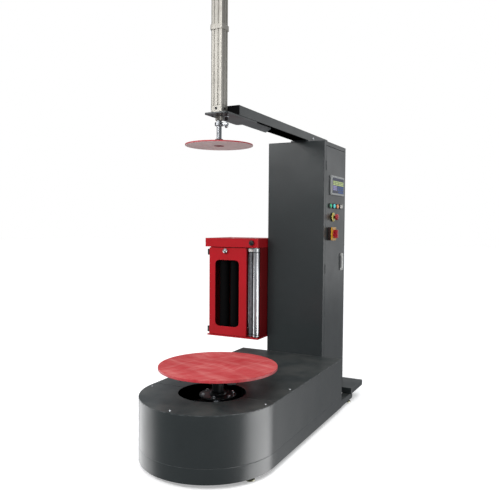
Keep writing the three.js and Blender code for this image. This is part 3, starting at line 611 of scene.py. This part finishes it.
FOOT_NUT = 0.0148
dull_zinc = metal(
    "dull_zinc_feet", "6d6c5a", "8b8a76", 0.42, (60.0, 60.0)
)
for place in ("front", "left_side", "right_side", "rear_left", "rear_right"):
    node = "foot_" + place
    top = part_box(node)[1].z
    centre = middle(node)
    bm = bmesh.new()
    pad = [
        (0, 0), (0.0205, 0), (0.022, 0.0015), (0.022, 0.0055), (0.0195, 0.0072),
        (0.0125, 0.0095), (0.0085, 0.0105), (0.0078, 0.0125), (0.0078, top), (0, top),
    ]
    lathe(bm, "z", (centre.x, centre.y, 0), pad, 48)
    nut = hexagon((centre.x, centre.y), 0.023)
    plate(bm, "z", nut, FOOT_NUT, top - 0.0005, edge=0.0012)
    finish_piece(bm, node + "_turned", dull_zinc, "root", node)


# ---- Turntable bearing, sprockets, chain and gearmotor ----
# A cast bearing housing bolted to the floor plate carries the table's shaft. A gearmotor
# further back turns it through a roller chain, all under the covers.
steel = metal("machined_steel", "8f9296", "b4b7ba", 0.32, (220.0, 30.0))
casting = powder_coat("motor_casting", "596064", "667074", "8c9194", rough=0.5, peel=0.5)
skin("turntable_bearing_housing", casting, 0.002, 3)
skin("turntable_shaft", steel, 0.0008)
skin("turntable_sprocket", steel, 0.0006)
skin("drive_sprocket", steel, 0.0006)
FIN_PITCH = 0.009


def cooling_fins(node, centre, radius, start, count):
    """Thin rings round a gearmotor's motor, cast with it to shed its heat."""
    bm = bmesh.new()
    for i in range(count):
        low = start + i * FIN_PITCH
        ring = [
            (radius - 0.003, low), (radius + 0.0016, low + 0.0006), (radius + 0.0016, low + 0.0028),
            (radius - 0.003, low + 0.0034),
        ]
        lathe(bm, "y", centre, ring, 48)
    finish_piece(bm, node + "_fins", casting, body_of(node))


skin("turntable_gearmotor", casting, 0.002, 3)
skin("lift_gearmotor", casting, 0.002, 3)
low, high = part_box("turntable_gearmotor")
MOTOR_LEVEL = 0.130
motor_axis = ((low.x + high.x) / 2, 0, MOTOR_LEVEL)
cooling_fins("turntable_gearmotor", motor_axis, 0.062, high.y - 0.128, 12)
low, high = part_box("lift_gearmotor")
sprocket_mid = middle("lift_drive_sprocket")
motor_axis = (sprocket_mid.x, 0, sprocket_mid.z)
cooling_fins("lift_gearmotor", motor_axis, 0.050, high.y - 0.118, 11)


def roller_chain(node, axis, start, end, radii, name):
    """A roller chain round two wheels: paired side plates and a pin at every pitch."""
    pitch = 0.0127
    plate_end, plate_thick, pin_radius = 0.0034, 0.001, 0.0028
    (u0, v0), (u1, v1) = start, end
    run = math.hypot(u1 - u0, v1 - v0)
    tilt = math.atan2(v1 - v0, u1 - u0)
    lean = math.asin((radii[0] - radii[1]) / run)
    straight = run * math.cos(lean)
    arcs = [radii[0] * (math.pi + 2 * lean), straight, radii[1] * (math.pi - 2 * lean), straight]
    count = round(sum(arcs) / pitch)
    low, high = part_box(node)
    along = {"x": 0, "y": 1, "z": 2}[axis]
    level = (low[along] + high[along]) / 2
    width = (high[along] - low[along]) / 2

    def spot(distance):
        distance %= sum(arcs)
        side = math.pi / 2 + lean
        if distance < arcs[0]:
            a = side + distance / radii[0]
            u, v = radii[0] * math.cos(a), radii[0] * math.sin(a)
        elif distance < arcs[0] + arcs[1]:
            a = -side
            d = distance - arcs[0]
            u = radii[0] * math.cos(a) + d * math.cos(lean)
            v = radii[0] * math.sin(a) + d * math.sin(lean)
        elif distance < sum(arcs[:3]):
            a = -side + (distance - arcs[0] - arcs[1]) / radii[1]
            u, v = run + radii[1] * math.cos(a), radii[1] * math.sin(a)
        else:
            a = side
            d = distance - sum(arcs[:3])
            u = run + radii[1] * math.cos(a) - d * math.cos(lean)
            v = radii[1] * math.sin(a) + d * math.sin(lean)
        return (
            u0 + u * math.cos(tilt) - v * math.sin(tilt),
            v0 + u * math.sin(tilt) + v * math.cos(tilt),
        )

    bm = bmesh.new()
    step = sum(arcs) / count
    for i in range(count):
        (ua, va), (ub, vb) = spot(i * step), spot((i + 1) * step)
        facing = math.atan2(vb - va, ub - ua)
        outline = []
        for u, v, turn in ((ua, va, math.pi / 2), (ub, vb, -math.pi / 2)):
            for k in range(4):
                a = facing + turn + math.pi * k / 3
                outline.append((u + plate_end * math.cos(a), v + plate_end * math.sin(a)))
        inset = 0.0012 if i % 2 else 0.0
        for side in (-1, 1):
            edges = sorted((side * (width - inset), side * (width - inset - plate_thick)))
            plate(bm, axis, outline, level + edges[0], level + edges[1], edge=0.0001, steps=1)
        centre = Vector(stand(axis, ua, va, level))
        roll = width - 0.0024
        lathe(bm, axis, centre, rectangle(0, -roll, pin_radius, roll), 8)
    finish_piece(bm, name, steel, "root", node)


drive_centre = middle("drive_sprocket")
roller_chain(
    "drive_chain", "z", (table_axis.x, table_axis.y), (drive_centre.x, drive_centre.y),
    (0.1245, 0.0485), "drive_chain_links",
)


# ---- Table spider ----
# Six square bars welded to a flanged neck carry the table's plate. Six zinc plated bolts hold
# its flange to the shaft, under a black snap ring, and all of it shows through the well.
SPIDER_TURN = 14
FLANGE = 0.010
BOLT_CIRCLE = 0.078
SNAP_RING_LEVEL = 0.0215
spider_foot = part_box("turntable_spider")[0].z
skin("turntable_spider", charcoal, 0.0012, 2)
black_oxide = metal(
    "black_oxide_steel", "1c1d1f", "2e3033", 0.35, (90.0, 90.0)
)
bm = bmesh.new()
washers = bmesh.new()
for i in range(6):
    a = math.radians(SPIDER_TURN + 30 + 60 * i)
    spot = (table_axis.x + BOLT_CIRCLE * math.cos(a), table_axis.y + BOLT_CIRCLE * math.sin(a))
    seat = spider_foot + FLANGE
    plate(bm, "z", hexagon(spot, 0.013, a), seat + 0.0016, seat + 0.0078, edge=0.0009)
    disc = [(0, 0), (0.0105, 0), (0.0105, 0.0012), (0.0098, 0.0017), (0, 0.0017)]
    lathe(washers, "z", (*spot, seat), disc, 24)
finish_piece(bm, "hub_bolts", zinc, "turntable")
finish_piece(washers, "hub_washers", zinc, "turntable")
ring = eased(rectangle(0.0298, 0.0, 0.034, 0.0042), 0.0006, 2)
place = (table_axis.x, table_axis.y, spider_foot + SNAP_RING_LEVEL)
turned("hub_snap_ring", black_oxide, "turntable", "z", place, ring, 64)


# ---- Turntable plate ----
# A steel disc with a turned-down rim, painted red and scuffed pale by every load that has
# been dragged over it. The rim is less worn than the top.
scuffs, takes, gives = effect_group(
    "scuffs", {"Turn": 0.0, "Length": 4.0, "Fineness": 40.0}, ["Mask"]
)
where = add_node(scuffs, "TexCoord").outputs["Object"]
feeds = {"Vector": where, "Axis": (0, 0, 1), "Angle": takes["Turn"]}
aimed = add_node(scuffs, "VectorRotate", feeds, rotation_type="AXIS_ANGLE").outputs[0]
wander = add_node(scuffs, "TexNoise", {"Vector": where, "Scale": 2.6, "Detail": 2.0})
feeds = {0: wander.outputs["Color"], 1: (0.16, 0.16, 0.0)}
bent = add_node(scuffs, "VectorMath", feeds, operation="MULTIPLY")
curved = add_node(scuffs, "VectorMath", {0: aimed, 1: bent.outputs[0]}, operation="ADD").outputs[0]
feeds = {0: takes["Length"], 1: takes["Fineness"], 2: takes["Length"]}
feeds = {0: curved, 1: add_node(scuffs, "CombineXYZ", feeds).outputs[0]}
pulled = add_node(scuffs, "VectorMath", feeds, operation="MULTIPLY").outputs[0]
feeds = {"Vector": pulled, "Scale": 1.0, "Detail": 5.0, "Roughness": 0.6}
streaks = add_node(scuffs, "TexNoise", feeds)
scuffs.links.new(ramp(scuffs, streaks.outputs["Fac"], 0.46, 0.72), gives["Mask"])


def worn_red(name, deep, mid, pale, rough, wear):
    """Red paint rubbed towards pink: soft cloudy wear and fine drag marks three ways."""
    material, surface = blank_material(name)
    tree = material.node_tree
    skin_marks = effect(tree, orange_peel, clouds=4.5)
    patches = effect(tree, orange_peel, clouds=9.0)["Cloud"]
    base = mixed(tree, skin_marks["Cloud"], colour(deep), colour(mid))
    for turn, length, fineness, strength in (
        (0.35, 3.6, 22.0, 0.5), (1.9, 4.0, 60.0, 0.35), (-0.7, 2.0, 120.0, 0.3)
    ):
        streak = effect(tree, scuffs, turn=turn, length=length, fineness=fineness)["Mask"]
        broken = ramp(tree, patches, 0.0, 1.0, 0.3, 1.0)
        worn = times(tree, times(tree, streak, strength * wear), broken)
        base = mixed(tree, worn, base, colour(pale))
    gloss = ramp(tree, patches, 0.0, 1.0, rough - 0.06, rough + 0.1)
    feeds = {"Base Color": base, "Roughness": gloss, "Specular IOR Level": 0.2}
    return finished(material, surface, feeds, skin_marks["Height"], 0.15, 0.0004)


table_red = worn_red("turntable_red_paint", "ab2a2f", "ba3e42", "d8918b", 0.6, 1.0)
rim_red = worn_red("turntable_rim_paint", "b0252f", "bb343d", "dc8f8e", 0.45, 0.5)
radius = (table_high.x - table_low.x) / 2
bottom, top = table_low.z - table_high.z, 0.0
PLATE_STEEL = 0.006
inner = radius - PLATE_STEEL
profile = [
    (0, -PLATE_STEEL), (inner, -PLATE_STEEL), (inner, bottom), (radius, bottom),
    (radius, top), (0, top),
]
place = (table_axis.x, table_axis.y, table_high.z)
profile = eased(profile, 0.0022, 4)
disc = turned(
    "turntable_disc", table_red, "turntable", "z", place, profile, 180, "turntable_plate"
)
disc.data.materials.append(rim_red)
for face in disc.data.polygons:
    face.material_index = int(abs(face.normal.z) < 0.85)


# ---- Column panels ----
# The column is a mast inside folded panels: a front and a rear channel, a slotted left side,
# and a cap with the pad that the arm is bolted to. Button-head screws hold the rear corners.
for panel in ("front_panel", "rear_panel", "left_panel", "top_cap"):
    skin("column_" + panel, charcoal, 0.0015, 2)
skin("mast", steel, 0.002, 2)
skin("lift_idler_sprocket", steel, 0.0006)
skin("lift_drive_sprocket", steel, 0.0006)
idler_mid = middle("lift_idler_sprocket")
roller_chain(
    "lift_chain", "y", (idler_mid.x, sprocket_mid.z), (idler_mid.x, idler_mid.z),
    (0.0355, 0.0354999), "lift_chain_links",
)
bm = bmesh.new()
back_low, back_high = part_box("column_rear_panel")
for share in (0.06, 0.28, 0.5, 0.72, 0.94):
    level = back_low.z + share * (back_high.z - back_low.z)
    for x in (back_low.x + 0.018, back_high.x - 0.018):
        screw_head(bm, "y", (x, back_high.y, level), 0.0055, 0.0018)
    screw_head(bm, "x", (back_low.x, back_high.y - 0.022, level), 0.0055, -0.0018)
finish_piece(bm, "column_screws", zinc, "root")


# ---- Column door and its hinges ----
# The whole right side is one folded door, on three slim pin hinges at its front edge, with
# the controls let into it.
skin("column_door", charcoal, 0.001, 2)
door_low, door_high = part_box("column_door")
bm = bmesh.new()
for share in (0.08, 0.5, 0.92):
    level = door_low.z + share * (door_high.z - door_low.z)
    centre = (door_high.x + 0.0006, door_low.y - 0.001, level)
    for start in (-0.030, -0.0096, 0.0108):
        knuckle = rectangle(0, start, 0.0026, start + 0.0192)
        lathe(bm, "z", centre, eased(knuckle, 0.0005, 2), 20)
finish_piece(bm, "column_door_hinges", charcoal, "column_door")


# ---- Operator panel ----
# A pale plastic bezel round a small coloured screen: a dark bar over yellow-green rows above
# and blue rows below.
def moulded(name, deep, pale, rough=0.4, glow=0.0, edge="b8b6b0", shine=0.4):
    """Moulded plastic with a fine spark texture, a faint sink mottling and rubbed edges."""
    material, surface = blank_material(name)
    tree = material.node_tree
    grain = effect(tree, orange_peel, peels=1500.0, clouds=30.0)
    base = mixed(tree, grain["Cloud"], colour(deep), colour(pale))
    rubbed = effect(tree, rubbed_edges, reach=0.0006, breaks=200.0)["Mask"]
    base = mixed(tree, times(tree, rubbed, 0.2), base, colour(edge))
    gloss = ramp(tree, grain["Cloud"], 0.0, 1.0, rough - 0.05, rough + 0.06)
    feeds = {"Base Color": base, "Roughness": gloss, "Emission Strength": glow}
    feeds["Specular IOR Level"] = shine
    if glow:
        feeds["Emission Color"] = base
    return finished(material, surface, feeds, grain["Height"], 0.12, 0.0001)


pale_grey = moulded("panel_grey_plastic", "a2a4a4", "b0b2b1")
black = moulded("black_plastic", "121314", "1a1b1d", 0.35, edge="5a5a5c")
skin("operator_panel", pale_grey, 0.002, 3)
screen_low, screen_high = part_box("operator_panel")
MARGIN = 0.012
GLASS = 0.0006
TILE = 0.0010
across = screen_high.y - screen_low.y - 2 * MARGIN
tall = screen_high.z - screen_low.z - 2 * MARGIN
bars = [(0.03, 0.84, 0.97, 0.97), (0.03, 0.03, 0.45, 0.14)]
rows = [
    (0.04 + 0.235 * i, 0.52 + 0.1 * k, 0.04 + 0.235 * i + 0.21, 0.59 + 0.1 * k)
    for i in range(4) for k in range(3)
]
blocks = [(0.04, 0.19 + 0.105 * k, 0.36, 0.27 + 0.105 * k) for k in range(3)]
keys = [
    (0.42 + 0.185 * i, 0.19 + 0.16 * k, 0.585 + 0.185 * i, 0.31 + 0.16 * k)
    for i in range(3) for k in range(2)
]
keys += [(0.50, 0.03, 0.73, 0.14), (0.75, 0.03, 0.97, 0.14)]
# Each tile is its front and low corner and its rear and high corner, as shares of the screen.
for name, finish, deep, pale, glow, rise, tiles in (
    ("screen_glass", "screen_glass", "2c3542", "36414f", 0.1, GLASS, [(0, 0, 1, 1)]),
    ("screen_bars", "screen_navy", "0c1338", "121b48", 0.1, TILE, bars),
    ("screen_rows", "screen_yellow_green", "a3b668", "bccb84", 0.35, TILE, rows),
    ("screen_values", "screen_lavender", "7f78ae", "948cc0", 0.25, TILE, blocks),
    ("screen_keys", "screen_blue", "133a78", "1d4c94", 0.15, TILE, keys),
):
    bm = bmesh.new()
    for tile in tiles:
        outline = [
            (screen_low.y + MARGIN + y * across, screen_low.z + MARGIN + z * tall)
            for y, z in rectangle(*tile)
        ]
        plate(bm, "x", outline, screen_high.x, screen_high.x + rise, edge=0.0002)
    lit = moulded(finish, deep, pale, 0.3, glow, shine=0.15)
    finish_piece(bm, name, lit, "column_door")


# ---- Push buttons and selector ----
# Lit push buttons with domed lenses in black screwed bezels, and a pale two-way selector, in
# one row under the screen.
FACE = screen_low.x
for node, slot, deep, pale, glow in (
    ("start_button", "green_lens", "0f8f5c", "1fae78", 0.25),
    ("reset_button", "cyan_lens", "36b3b7", "58cfd2", 0.5),
    ("stop_button", "orange_lens", "d87c44", "eaa06c", 0.3),
    ("selector_switch", None, None, None, None),
):
    low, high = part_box(node)
    centre = (0, (low.y + high.y) / 2, (low.z + high.z) / 2)
    collar = [
        (0.0085, FACE), (0.0175, FACE), (0.0175, FACE + 0.003), (0.0158, FACE + 0.0066),
        (0.0146, FACE + 0.0072), (0.0134, FACE + 0.0064), (0.0134, FACE + 0.0012),
        (0.0085, FACE + 0.0012),
    ]
    turned(node + "_bezel", black, "column_door", "x", centre, eased(collar, 0.0006, 2), 48)
    if slot:
        dome = [
            (0, low.x), (0.008, low.x), (0.008, FACE + 0.006), (0.0129, FACE + 0.006),
            (0.0129, high.x - 0.003), (0.0118, high.x - 0.0012), (0.008, high.x - 0.0003),
            (0, high.x),
        ]
        lens = moulded(slot, deep, pale, 0.2, glow)
        dome = eased(dome, 0.0008, 3)
        turned(node + "_lens", lens, body_of(node), "x", centre, dome, 40, node)
selector_white = moulded(
    "selector_white_plastic", "d4d4d0", "e6e6e2", 0.35
)
skin("selector_switch", selector_white, 0.001, 3)


# ---- Emergency stop ----
# A red mushroom head on a black neck, over a raised yellow ring that marks it as the stop.
signal_red = moulded("signal_red_plastic", "9c1420", "b52430", 0.28)
signal_yellow = moulded("signal_yellow_plastic", "cf9412", "dea51c", 0.35)
pale_yellow = moulded(
    "pale_yellow_plastic", "cfc04a", "ddd06a", 0.35
)
low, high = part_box("emergency_stop")
stop_centre = (0, (low.y + high.y) / 2, (low.z + high.z) / 2)
base = [(0.0126, FACE), (0.0255, FACE), (0.0245, FACE + 0.0048), (0.0126, FACE + 0.0048)]
ring = [
    (0.0126, FACE + 0.005), (0.030, FACE + 0.005), (0.030, FACE + 0.0085),
    (0.0250, FACE + 0.0115), (0.0126, FACE + 0.0115),
]
neck = [
    (0, low.x), (0.008, low.x), (0.008, FACE + 0.014), (0.0113, FACE + 0.0195),
    (0.0113, FACE + 0.0203), (0, FACE + 0.0203),
]
mushroom = [
    (0, FACE + 0.0205), (0.0115, FACE + 0.0205), (0.0185, FACE + 0.0235), (0.020, FACE + 0.026),
    (0.020, FACE + 0.033), (0.0180, high.x - 0.0035), (0.0130, high.x - 0.0012),
    (0.006, high.x - 0.0002), (0, high.x),
]
base, ring, mushroom = eased(base, 0.0008, 2), eased(ring, 0.0012, 3), eased(mushroom, 0.0012, 3)
for name, finish, body, profile, steps, node in (
    ("base", black, "column_door", base, 64, ()),
    ("ring", pale_yellow, "column_door", ring, 64, ()),
    ("neck", black, body_of("emergency_stop"), neck, 48, ("emergency_stop",)),
    ("mushroom", signal_red, body_of("emergency_stop"), mushroom, 64, ("emergency_stop",)),
):
    turned("emergency_stop_" + name, finish, body, "x", stop_centre, profile, steps, *node)


# ---- Main switch and door handle ----
# A dark red-brown block, its colour painted shade for the switch's shaded side, with a yellow
# plate and a red turning grip, held by four corner screws, and a pale pull handle fixed from
# inside the door.
def circle(x, y, radius, steps):
    """Points round a circle on a flat plane."""
    angles = [2 * math.pi * i / steps for i in range(steps)]
    return [(x + radius * math.cos(a), y + radius * math.sin(a)) for a in angles]


low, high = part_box("main_switch_base")
YELLOW_DEPTH = 0.007
block = eased(rectangle(low.y, low.z, high.y, high.z), 0.006, 4, closed=True)
seat = circle((low.y + high.y) / 2, (low.z + high.z) / 2, 0.0086, 40)
# The block's dark red-brown is painted shade, standing for the shaded side of a yellow switch.
shaded_switch_body = moulded(
    "switch_body_painted_shade", "2b1f1c", "352724", 0.45, edge="5a4c48", shine=0.2,
)
for name, finish, start, end in (
    ("main_switch_shaded_body", shaded_switch_body, low.x, high.x - YELLOW_DEPTH - 0.0003),
    ("main_switch_plate", signal_yellow, high.x - YELLOW_DEPTH, high.x),
):
    bm = bmesh.new()
    plate(bm, "x", block, start, end, [seat], edge=0.0015, steps=3)
    finish_piece(bm, name, finish, "column_door", "main_switch_base")
skin("main_switch_handle", signal_red, 0.002, 3)
bm = bmesh.new()
for y in (low.y + 0.010, high.y - 0.010):
    for z in (low.z + 0.010, high.z - 0.010):
        screw_head(bm, "x", (high.x, y, z), 0.0036, 0.0014)
finish_piece(bm, "main_switch_screws", black_oxide, "column_door")
low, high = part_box("door_handle")
bm = bmesh.new()
grip = [
    (low.x, low.z), (high.x - 0.004, low.z), (high.x, low.z + 0.010), (high.x, high.z - 0.010),
    (high.x - 0.004, high.z), (low.x, high.z), (low.x, high.z - 0.016),
    (high.x - 0.0055, high.z - 0.020), (high.x - 0.0055, low.z + 0.020), (low.x, low.z + 0.016),
]
plate(bm, "y", eased(grip, 0.004, 3, closed=True), low.y, high.y, edge=0.003, steps=3)
pull_plastic = moulded("door_pull_plastic", "cfd0cd", "dfe0dd", 0.35)
finish_piece(bm, "door_pull", pull_plastic, body_of("door_handle"), "door_handle")


# ---- Arm, cylinder plate and their fasteners ----
# A folded channel, open below, stands on the column's cap and reaches out over the table. A
# black cap closes its end, and a plate under its front half carries the cylinder.
skin("arm_channel", charcoal, 0.002, 3)
skin("cylinder_mount_plate", charcoal, 0.001, 2)
arm_low, arm_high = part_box("arm_channel")
bm = bmesh.new()
ease = 0.0004
end_plan = rectangle(
    arm_low.x + ease, arm_low.z + 0.0006, arm_high.x - ease, arm_high.z - ease
)
plate(bm, "y", end_plan, arm_low.y - 0.0025, arm_low.y - 0.0002, edge=0.001, steps=3)
soft_black = moulded(
    "end_cap_rubber", "050506", "08080a", 0.85, edge="141415", shine=0.08
)
finish_piece(bm, "arm_end_cap", soft_black, "root")
bm = bmesh.new()
bolt_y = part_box("mast")[0].y + 0.031
bolt_z = arm_low.z + 0.0212
screw_head(bm, "x", (arm_high.x, bolt_y, bolt_z), 0.0075, 0.005, 24)
screw_head(bm, "x", (arm_low.x, bolt_y, bolt_z), 0.0075, -0.005, 24)
finish_piece(bm, "arm_bolts", zinc, "root")
cap_low, cap_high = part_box("cylinder_front_cap")
cap_mid = middle("cylinder_front_cap")
plate_low, plate_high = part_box("cylinder_mount_plate")
TIE_REACH = 0.0245
bm = bmesh.new()
for side_x in (-1, 1):
    for side_y in (-1, 1):
        spot = (cap_mid.x + side_x * TIE_REACH, cap_mid.y + side_y * TIE_REACH, plate_low.z)
        screw_head(bm, "z", spot, 0.0052, -0.004, 20)
finish_piece(bm, "cylinder_plate_screws", black_oxide, "root")


# ---- Air cylinder ----
# An extruded aluminium tube between two cast caps, with sensor grooves down each face. Black
# plugs close the spare ports in its front cap.
aluminium = metal("anodised_aluminium", "928f89", "a8a59e", 0.48, (260.0, 2.0), grain=0.03)
chrome = metal("chromed_steel", "9fa1a3", "b4b6b8", 0.26, (40.0, 4.0), grain=0.0)
skin("cylinder_front_cap", aluminium, 0.0012, 3)
skin("cylinder_tube", aluminium, 0.0008, 2)
skin("cylinder_band", aluminium, 0.0012, 3)
skin("cylinder_rear_cap", aluminium, 0.0012, 3)
bm = bmesh.new()
port_z = plate_high.z + 0.029
screw_head(bm, "y", (cap_mid.x, cap_low.y, port_z), 0.0065, -0.0016, 24)
screw_head(bm, "x", (cap_high.x, cap_mid.y, port_z), 0.0065, 0.0016, 24)
tie_z = plate_high.z + 0.012
for x in (cap_low.x + 0.010, cap_high.x - 0.010):
    screw_head(bm, "y", (x, cap_low.y, tie_z), 0.0036, -0.0012, 18)
finish_piece(bm, "cylinder_port_plugs", black_oxide, "root")


# ---- Press rod, clamp and home switch ----
# A ground and chromed rod slides out of the cylinder. The clamp on it carries a finger whose
# stud meets a switch under the plate when the disc is home.
rod_low, rod_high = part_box("press_rod")
rod_mid = middle("press_rod")
rod_radius = 0.0125
piston = (rod_high.x - rod_low.x) / 2
piston_foot = rod_high.z - 0.028
profile = [
    (0, rod_low.z), (rod_radius, rod_low.z), (rod_radius, piston_foot),
    (piston, piston_foot), (piston, rod_high.z), (0, rod_high.z),
]
rod_chrome = metal(
    "ground_rod_chrome", "75777a", "8d8f92", 0.22, (40.0, 4.0), grain=0.0
)
place = (rod_mid.x, rod_mid.y, 0)
profile = eased(profile, 0.0008, 2)
turned("press_rod_ground", rod_chrome, body_of("press_rod"), "z", place, profile, 64, "press_rod")
skin("rod_clamp", rod_chrome, 0.001, 3, slot="machined_steel")
clamp_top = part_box("rod_clamp")[1].z
bm = bmesh.new()
place = (rod_mid.x + 0.017, rod_mid.y - 0.0140, clamp_top - 0.012)
screw_head(bm, "y", place, 0.0035, -0.003, 18)
finish_piece(bm, "rod_clamp_screw", black_oxide, body_of("rod_clamp"))
switch_low, switch_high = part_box("home_switch")
switch_mid = middle("home_switch")
bm = bmesh.new()
body = [
    (0, switch_low.z), (0.0075, switch_low.z), (0.009, switch_low.z + 0.0015),
    (0.009, switch_high.z), (0, switch_high.z),
]
lathe(bm, "z", (switch_mid.x, switch_mid.y, 0), body, 32)
for i in range(9):
    level = switch_low.z + 0.003 + i * 0.002
    thread = [(0.0088, level), (0.00935, level + 0.0006), (0.0088, level + 0.0012)]
    lathe(bm, "z", (switch_mid.x, switch_mid.y, 0), thread, 32)
finish_piece(bm, "home_switch_body", black, "root", "home_switch")
bm = bmesh.new()
nut = hexagon((switch_mid.x, switch_mid.y), 0.023, 0.3)
plate(bm, "z", nut, switch_high.z - 0.0052, switch_high.z - 0.0004, edge=0.0008)
finish_piece(bm, "home_switch_nut", zinc, "root")


# ---- Press disc and its hub ----
# A thin steel disc painted like the table, its underside rubbed to a greyish pink, with a
# hole in the middle. Its black hub turns freely on the rod, and four studs fix the two.
disc_red = worn_red("press_disc_red_paint", "a3222b", "ac2e36", "c98f8e", 0.55, 0.5)
disc_under = worn_red("press_disc_underside", "e8cfcd", "eed9d7", "f4e6e4", 0.6, 0.7)
disc_low, disc_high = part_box("press_disc")
disc_mid = middle("press_disc")
bm = bmesh.new()
outer = circle(disc_mid.x, disc_mid.y, (disc_high.x - disc_low.x) / 2, 144)
holes = [
    circle(disc_mid.x, disc_mid.y, 0.026, 48),
    circle(disc_mid.x - 0.002, disc_mid.y - 0.066, 0.0035, 16),
]
plate(bm, "z", outer, disc_low.z, disc_high.z, holes, edge=0.0015, steps=3)
disc = finish_piece(bm, "press_disc_plate", disc_red, body_of("press_disc"), "press_disc")
disc.data.materials.append(disc_under)
for face in disc.data.polygons:
    face.material_index = int(face.normal.z < -0.7)
skin("press_disc_hub", black, 0.0008, 2, slot="charcoal_powder_coat")
hub_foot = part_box("press_disc_hub")[0].z
STUD_CIRCLE = 0.056
bm = bmesh.new()
for i in range(4):
    a = math.pi / 2 * i + math.pi / 6
    spot = (disc_mid.x + STUD_CIRCLE * math.cos(a), disc_mid.y + STUD_CIRCLE * math.sin(a))
    plate(bm, "z", hexagon(spot, 0.010, a), hub_foot + 0.0055, hub_foot + 0.0105, edge=0.0006)
finish_piece(bm, "press_hub_nuts", zinc, body_of("press_disc_hub"))


# ---- Film carriage ----
# A folded red case on the column's side. Its shell is the same red paint darkened as painted
# shade, deeper than its drive box and lipped floor. A bracket reaches through the column's slot
# to a saddle on the mast.
carriage_red = powder_coat(
    "carriage_red_paint", "ac0c15", "b81320", "c8403f", rough=0.4, dust=0.05, peel=0.2, shine=0.2,
)
# The shell's deeper red is painted shade: one red paint, darkened where the shell stands in shadow.
painted_shade_red = powder_coat(
    "carriage_shell_painted_shade", "6e070c", "7b0a11", "8c2a2c", rough=0.55, dust=0.05, peel=0.2,
    shine=0.1,
)
skin("carriage_shell", painted_shade_red, 0.0012)
skin("carriage_floor", carriage_red, 0.0012)
skin("carriage_top_box", carriage_red, 0.0012)
skin("carriage_bracket", steel, 0.0015)
box_low, box_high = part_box("carriage_top_box")
bm = bmesh.new()
for x in (box_low.x + 0.03, (box_low.x + box_high.x) / 2, box_high.x - 0.03):
    for y in (box_low.y + 0.03, box_high.y - 0.03):
        screw_head(bm, "z", (x, y, box_high.z), 0.0042, 0.0020, 18)
finish_piece(bm, "carriage_lid_screws", zinc, "carriage")


# ---- Film door, its hinges and latch ----
# A folded red tray with a round-cornered window, on two black pin hinges. Its latch is a
# turned and chromed pull.
skin("film_door", carriage_red, 0.001)
shut_low, shut_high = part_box("film_door")
bm = bmesh.new()
for level in (shut_low.z + 0.030, shut_high.z - 0.030):
    axis_x, axis_y = shut_low.x - 0.003, shut_low.y + 0.007
    for start in (-0.020, 0.0005):
        knuckle = rectangle(0, start, 0.0055, start + 0.0195)
        lathe(bm, "z", (axis_x, axis_y, level), eased(knuckle, 0.0008, 2), 24)
    leaf = rectangle(axis_x - 0.014, level - 0.020, axis_x - 0.002, level + 0.020)
    plate(bm, "y", leaf, axis_y - 0.001, axis_y + 0.0015, edge=0.0005)
finish_piece(bm, "film_door_hinges", black, "carriage")
latch_low, latch_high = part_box("film_door_latch")
latch_mid = middle("film_door_latch")
front = latch_low.y
pull_profile = [
    (0, front), (0.008, front + 0.0006), (0.0135, front + 0.004), (0.0168, front + 0.0085),
    (0.0168, front + 0.0125), (0.0125, front + 0.0185), (0.006, front + 0.0222),
    (0.006, latch_high.y), (0, latch_high.y),
]
turned(
    "film_door_pull", chrome, body_of("film_door_latch"), "y", (latch_mid.x, 0, latch_mid.z),
    eased(pull_profile, 0.0015, 3), 48, "film_door_latch",
)
knob_low, knob_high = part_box("tension_knob")
knob_mid = middle("tension_knob")
KNOB_RIBS = 20
bm = bmesh.new()
front = knob_low.y
grip = [
    (0, front), (0.0125, front), (0.0145, front + 0.0012), (0.016, front + 0.003),
    (0.016, front + 0.015), (0.0145, front + 0.0168), (0.005, front + 0.0168), (0.005, knob_high.y),
    (0, knob_high.y),
]
lathe(bm, "y", (knob_mid.x, 0, knob_mid.z), grip, 48)
rib = [
    (0, front + 0.003), (0.0010, front + 0.0035), (0.0010, front + 0.0145), (0, front + 0.015)
]
for x, z in circle(knob_mid.x, knob_mid.z, 0.0157, KNOB_RIBS):
    lathe(bm, "y", (x, 0, z), rib, 8)
finish_piece(bm, "tension_knob_grip", black, body_of("tension_knob"), "tension_knob")


# ---- Film rollers and mandrel ----
# Two geared rubber rollers stretch the film, and a plain steel and a chromed roller lead it
# out. A nylon and a chromed collar, with black washers, centre those two under the drive box.
rubber = moulded("roller_rubber", "040405", "060607", 0.75, edge="121213", shine=0.06)
nylon = moulded("nylon_white", "d2d2ce", "e2e2de", 0.4)
skin("stretch_roller_left", rubber, 0.0012)
skin("stretch_roller_right", rubber, 0.0012)
skin("film_mandrel", aluminium, 0.0015)
grey_steel = metal(
    "idler_roller_steel", "76787b", "93969a", 0.3, (60.0, 60.0), grain=0.0,
)
AXLE = 0.008
END_GAP = 0.006
start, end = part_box("carriage_floor")[1].z + END_GAP, box_low.z - END_GAP
for node, finish, collar_finish in (
    ("exit_roller", chrome, chrome), ("idler_roller", grey_steel, nylon)
):
    low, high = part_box(node)
    centre = middle(node)
    centre.z = 0
    radius = (high.x - low.x) / 2
    inner = radius - 0.0004
    profile = [
        (0, low.z), (AXLE, low.z), (AXLE, start), (radius, start), (radius, end), (AXLE, end),
        (AXLE, high.z), (0, high.z),
    ]
    ride_on = body_of(node)
    profile = eased(profile, 0.002, 3)
    turned(node + "_barrel", finish, ride_on, "z", centre, profile, 72, node)
    top = end + 0.0004
    collar = eased(rectangle(inner, top - 0.022, radius + 0.0012, top), 0.0004, 2)
    turned(node + "_collar", collar_finish, ride_on, "z", centre, collar, 64)
    bm = bmesh.new()
    for level in (top - 0.029, start + 0.012):
        band = rectangle(inner, level, radius + 0.0010, level + 0.005)
        lathe(bm, "z", centre, eased(band, 0.0004, 2), 64)
    finish_piece(bm, node + "_washers", black, ride_on)

low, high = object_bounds()
